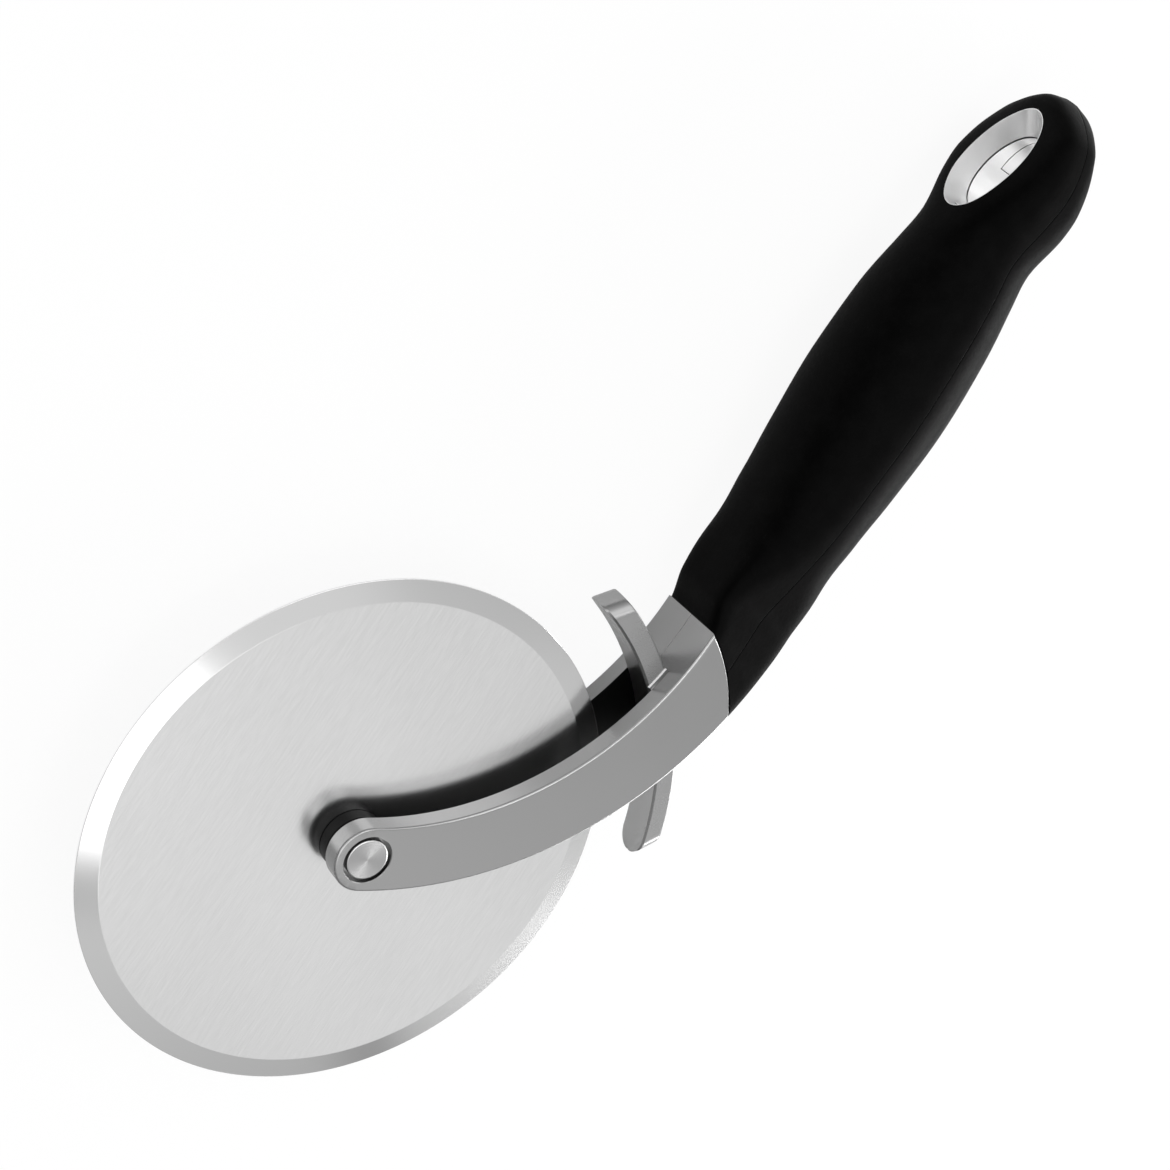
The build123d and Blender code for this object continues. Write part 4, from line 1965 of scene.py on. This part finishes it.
@dataclass
class Studio:
    """The white floor and surroundings, soft lamps, and the photograph's camera.

    Attributes:
        room_by_height: light of the room by the height of a direction, from the horizon to straight up.
        room_by_side: its share by how far a direction points along X, from -1 at 0 to 1 at 1.
        camera_place: in millimetres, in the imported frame.
        camera_right: the picture's right.
        camera_up: the picture's up.
        lens: focal length, in millimetres.
        sensor: width of the picture that the lens is given for, in millimetres.
        floor_z: height of the floor, in metres.
        floor_glow: share of plain white in how the camera sees the floor.
        floor_reach: how far the floor reaches from the axle, in metres.
    """

    floor_z: float
    room_by_height: tuple[tuple[float, float], ...] = (
        (0.0, 0.15),
        (0.12, 0.2),
        (0.3, 0.5),
        (0.45, 0.7),
        (0.6, 0.78),
        (0.8, 0.95),
        (1.0, 0.95),
    )
    room_by_side: tuple[tuple[float, float], ...] = (
        (0.0, 0.6),
        (0.26, 0.66),
        (0.277, 0.42),
        (0.287, 0.42),
        (0.297, 0.72),
        (0.35, 0.97),
        (0.385, 1.0),
        (0.42, 0.7),
        (0.525, 0.76),
        (0.55, 0.5),
        (0.6, 0.55),
        (0.68, 1.0),
        (1.0, 1.0),
    )
    camera_place: Vector = Vector((119.86, 297.03, 383.64))
    camera_right: Vector = Vector((0.5586, -0.6822, 0.4718))
    camera_up: Vector = Vector((0.8201, 0.3693, -0.4371))
    lens: float = 86.15
    sensor: float = 36.0
    floor_glow: float = 0.92
    floor_reach: float = 3.0

    def build(self) -> None:
        """Sets the camera, the floor, the world and the lamps."""
        bpy.context.scene.view_settings.view_transform = "Standard"
        self._camera()
        self._floor()
        self._world()
        for lamp in LAMPS:
            lamp.build()

    def _camera(self) -> None:
        """The camera, at the place solved from the disc's outline and the axle's head."""
        data = bpy.data.cameras.new("camera")
        data.lens = self.lens
        data.sensor_width = self.sensor
        data.clip_start, data.clip_end = 0.01, 10.0
        camera = bpy.data.objects.new("camera", data)
        right = self.camera_right.normalized()
        back = right.cross(self.camera_up).normalized()
        up = back.cross(right)
        turn = Matrix((right, up, back)).transposed().to_4x4()
        camera.matrix_world = Matrix.Translation(self.camera_place * MM) @ turn
        bpy.context.scene.collection.objects.link(camera)
        bpy.context.scene.camera = camera

    def _floor(self) -> None:
        """A wide pale floor that looks white and keeps a faint shadow."""
        shape = Shape()
        bmesh.ops.create_grid(shape.bm, x_segments=1, y_segments=1, size=self.floor_reach)
        bmesh.ops.translate(shape.bm, verts=shape.bm.verts[:], vec=(0.0, 0.0, self.floor_z))
        mesh = bpy.data.meshes.new("floor")
        shape.bm.to_mesh(mesh)
        shape.bm.free()
        floor = bpy.data.objects.new("floor", mesh)
        bpy.context.scene.collection.objects.link(floor)
        bench = Bench("floor_white")
        bench.set(Base_Color=(0.95, 0.95, 0.95, 1.0), Roughness=0.9, Specular_IOR_Level=0.0)
        glow = bench.node("ShaderNodeEmission", Color=WHITE, Strength=1.0).outputs["Emission"]
        seen = bench.node("ShaderNodeLightPath").outputs["Is Camera Ray"]
        share = bench.node("ShaderNodeMath", operation="MULTIPLY")
        bench.join(seen, share.inputs[0])
        share.inputs[1].default_value = self.floor_glow
        look = bench.blend(share.outputs[0], bench.shader.outputs["BSDF"], glow)
        bench.join(look, bench.nodes["Material Output"].inputs["Surface"])
        mesh.materials.append(bench.material)
        floor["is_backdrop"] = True

    def _world(self) -> None:
        """White to the camera, and a soft room for the light: brighter above, darker at its sides."""
        world = bpy.data.worlds.new("studio")
        bpy.context.scene.world = world
        world.use_nodes = True
        world.node_tree.nodes.clear()
        tree = Tree(world.node_tree)
        parts = tree.node("ShaderNodeSeparateXYZ")
        tree.join(tree.node("ShaderNodeTexCoord").outputs["Generated"], parts.inputs["Vector"])
        shift = tree.node("ShaderNodeMapRange", From_Min=-1.0)
        tree.join(parts.outputs["X"], shift.inputs["Value"])
        height = self._ramp(tree, parts.outputs["Z"], self.room_by_height)
        side = self._ramp(tree, shift.outputs["Result"], self.room_by_side)
        room = tree.node("ShaderNodeBackground", Color=WHITE)
        tree.join(tree.times(height, side), room.inputs["Strength"])
        plain = tree.node("ShaderNodeBackground", Color=WHITE, Strength=1.0)
        seen = tree.node("ShaderNodeLightPath").outputs["Is Camera Ray"]
        look = tree.blend(seen, room.outputs["Background"], plain.outputs["Background"])
        tree.join(look, tree.node("ShaderNodeOutputWorld").inputs["Surface"])

    def _ramp(self, tree: Tree, value: Socket, stops: tuple[tuple[float, float], ...]) -> Socket:
        """A grey level that follows a value through stops of (place, level).

        Args:
            tree: the node tree that it is added to.
            value: the value, from 0 to 1.
            stops: place and level of each.

        Returns:
            The output that holds the level.
        """
        ramp = tree.node("ShaderNodeValToRGB")
        elements = ramp.color_ramp.elements
        while len(elements) < len(stops):
            elements.new(0.5)
        for element, (place, level) in zip(elements, stops):
            element.position = place
            element.color = (level, level, level, 1.0)
        tree.join(value, ramp.inputs["Fac"])
        return ramp.outputs["Color"]


# The whole


def dress_nodes(frame: dict, finishes: Finishes) -> None:
    """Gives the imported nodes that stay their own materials.

    Args:
        finishes: the finishes to take them from.
    """
    kept = {
        "hub_bush": "bush",
        "tang": "plain",
        "fork_rivets": "plain",
        "tang_pins": "plain",
        "core_upper": "core",
        "core_lower": "core",
    }
    for name, finish in kept.items():
        mesh = frame["nodes"][name].data
        mesh.materials.clear()
        mesh.materials.append(finishes.get(finish))
        LOG.info("%s: packed shape with %s", name, finish)


def main() -> None:
    """Builds the cutter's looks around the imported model."""
    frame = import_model()
    packed = [list(corner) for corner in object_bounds()]
    disc_low, disc_high = (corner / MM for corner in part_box("cutting_disc"))
    fork_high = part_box("fork_near_half")[1] / MM
    guard_low, guard_high = (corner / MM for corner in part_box("finger_guard"))
    flange_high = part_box("hub_flange_near")[1] / MM
    washer_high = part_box("thrust_washer_near")[1] / MM
    lift = (disc_low.z + disc_high.z) / 2

    fitter = Fitter(Finishes(), lift)
    wheel = Wheel(
        radius=disc_high.x,
        half_thick=(disc_high.z - disc_low.z) / 2,
        hub_half=flange_high.z - lift,
        flange_r=flange_high.x,
    )
    fork = Fork(half=fork_high.z - lift, inner=washer_high.z - lift)
    guard = Guard(fork, fork.guard_inner_r, fork.guard_thick, (guard_high.z - guard_low.z) / 2)
    axle = Axle(fork.half, fork.inner)
    handle = Handle(fork)
    eye = HangingEye(handle)

    wheel.build(fitter)
    fork.build(fitter)
    guard.build(fitter)
    axle.build(fitter)
    handle.build(eye, fitter)
    eye.build(fitter)
    dress_nodes(frame, fitter.finishes)
    Studio(floor_z=packed[0][2] - FLOOR_GAP).build()


if __name__ == "__main__":
    main()
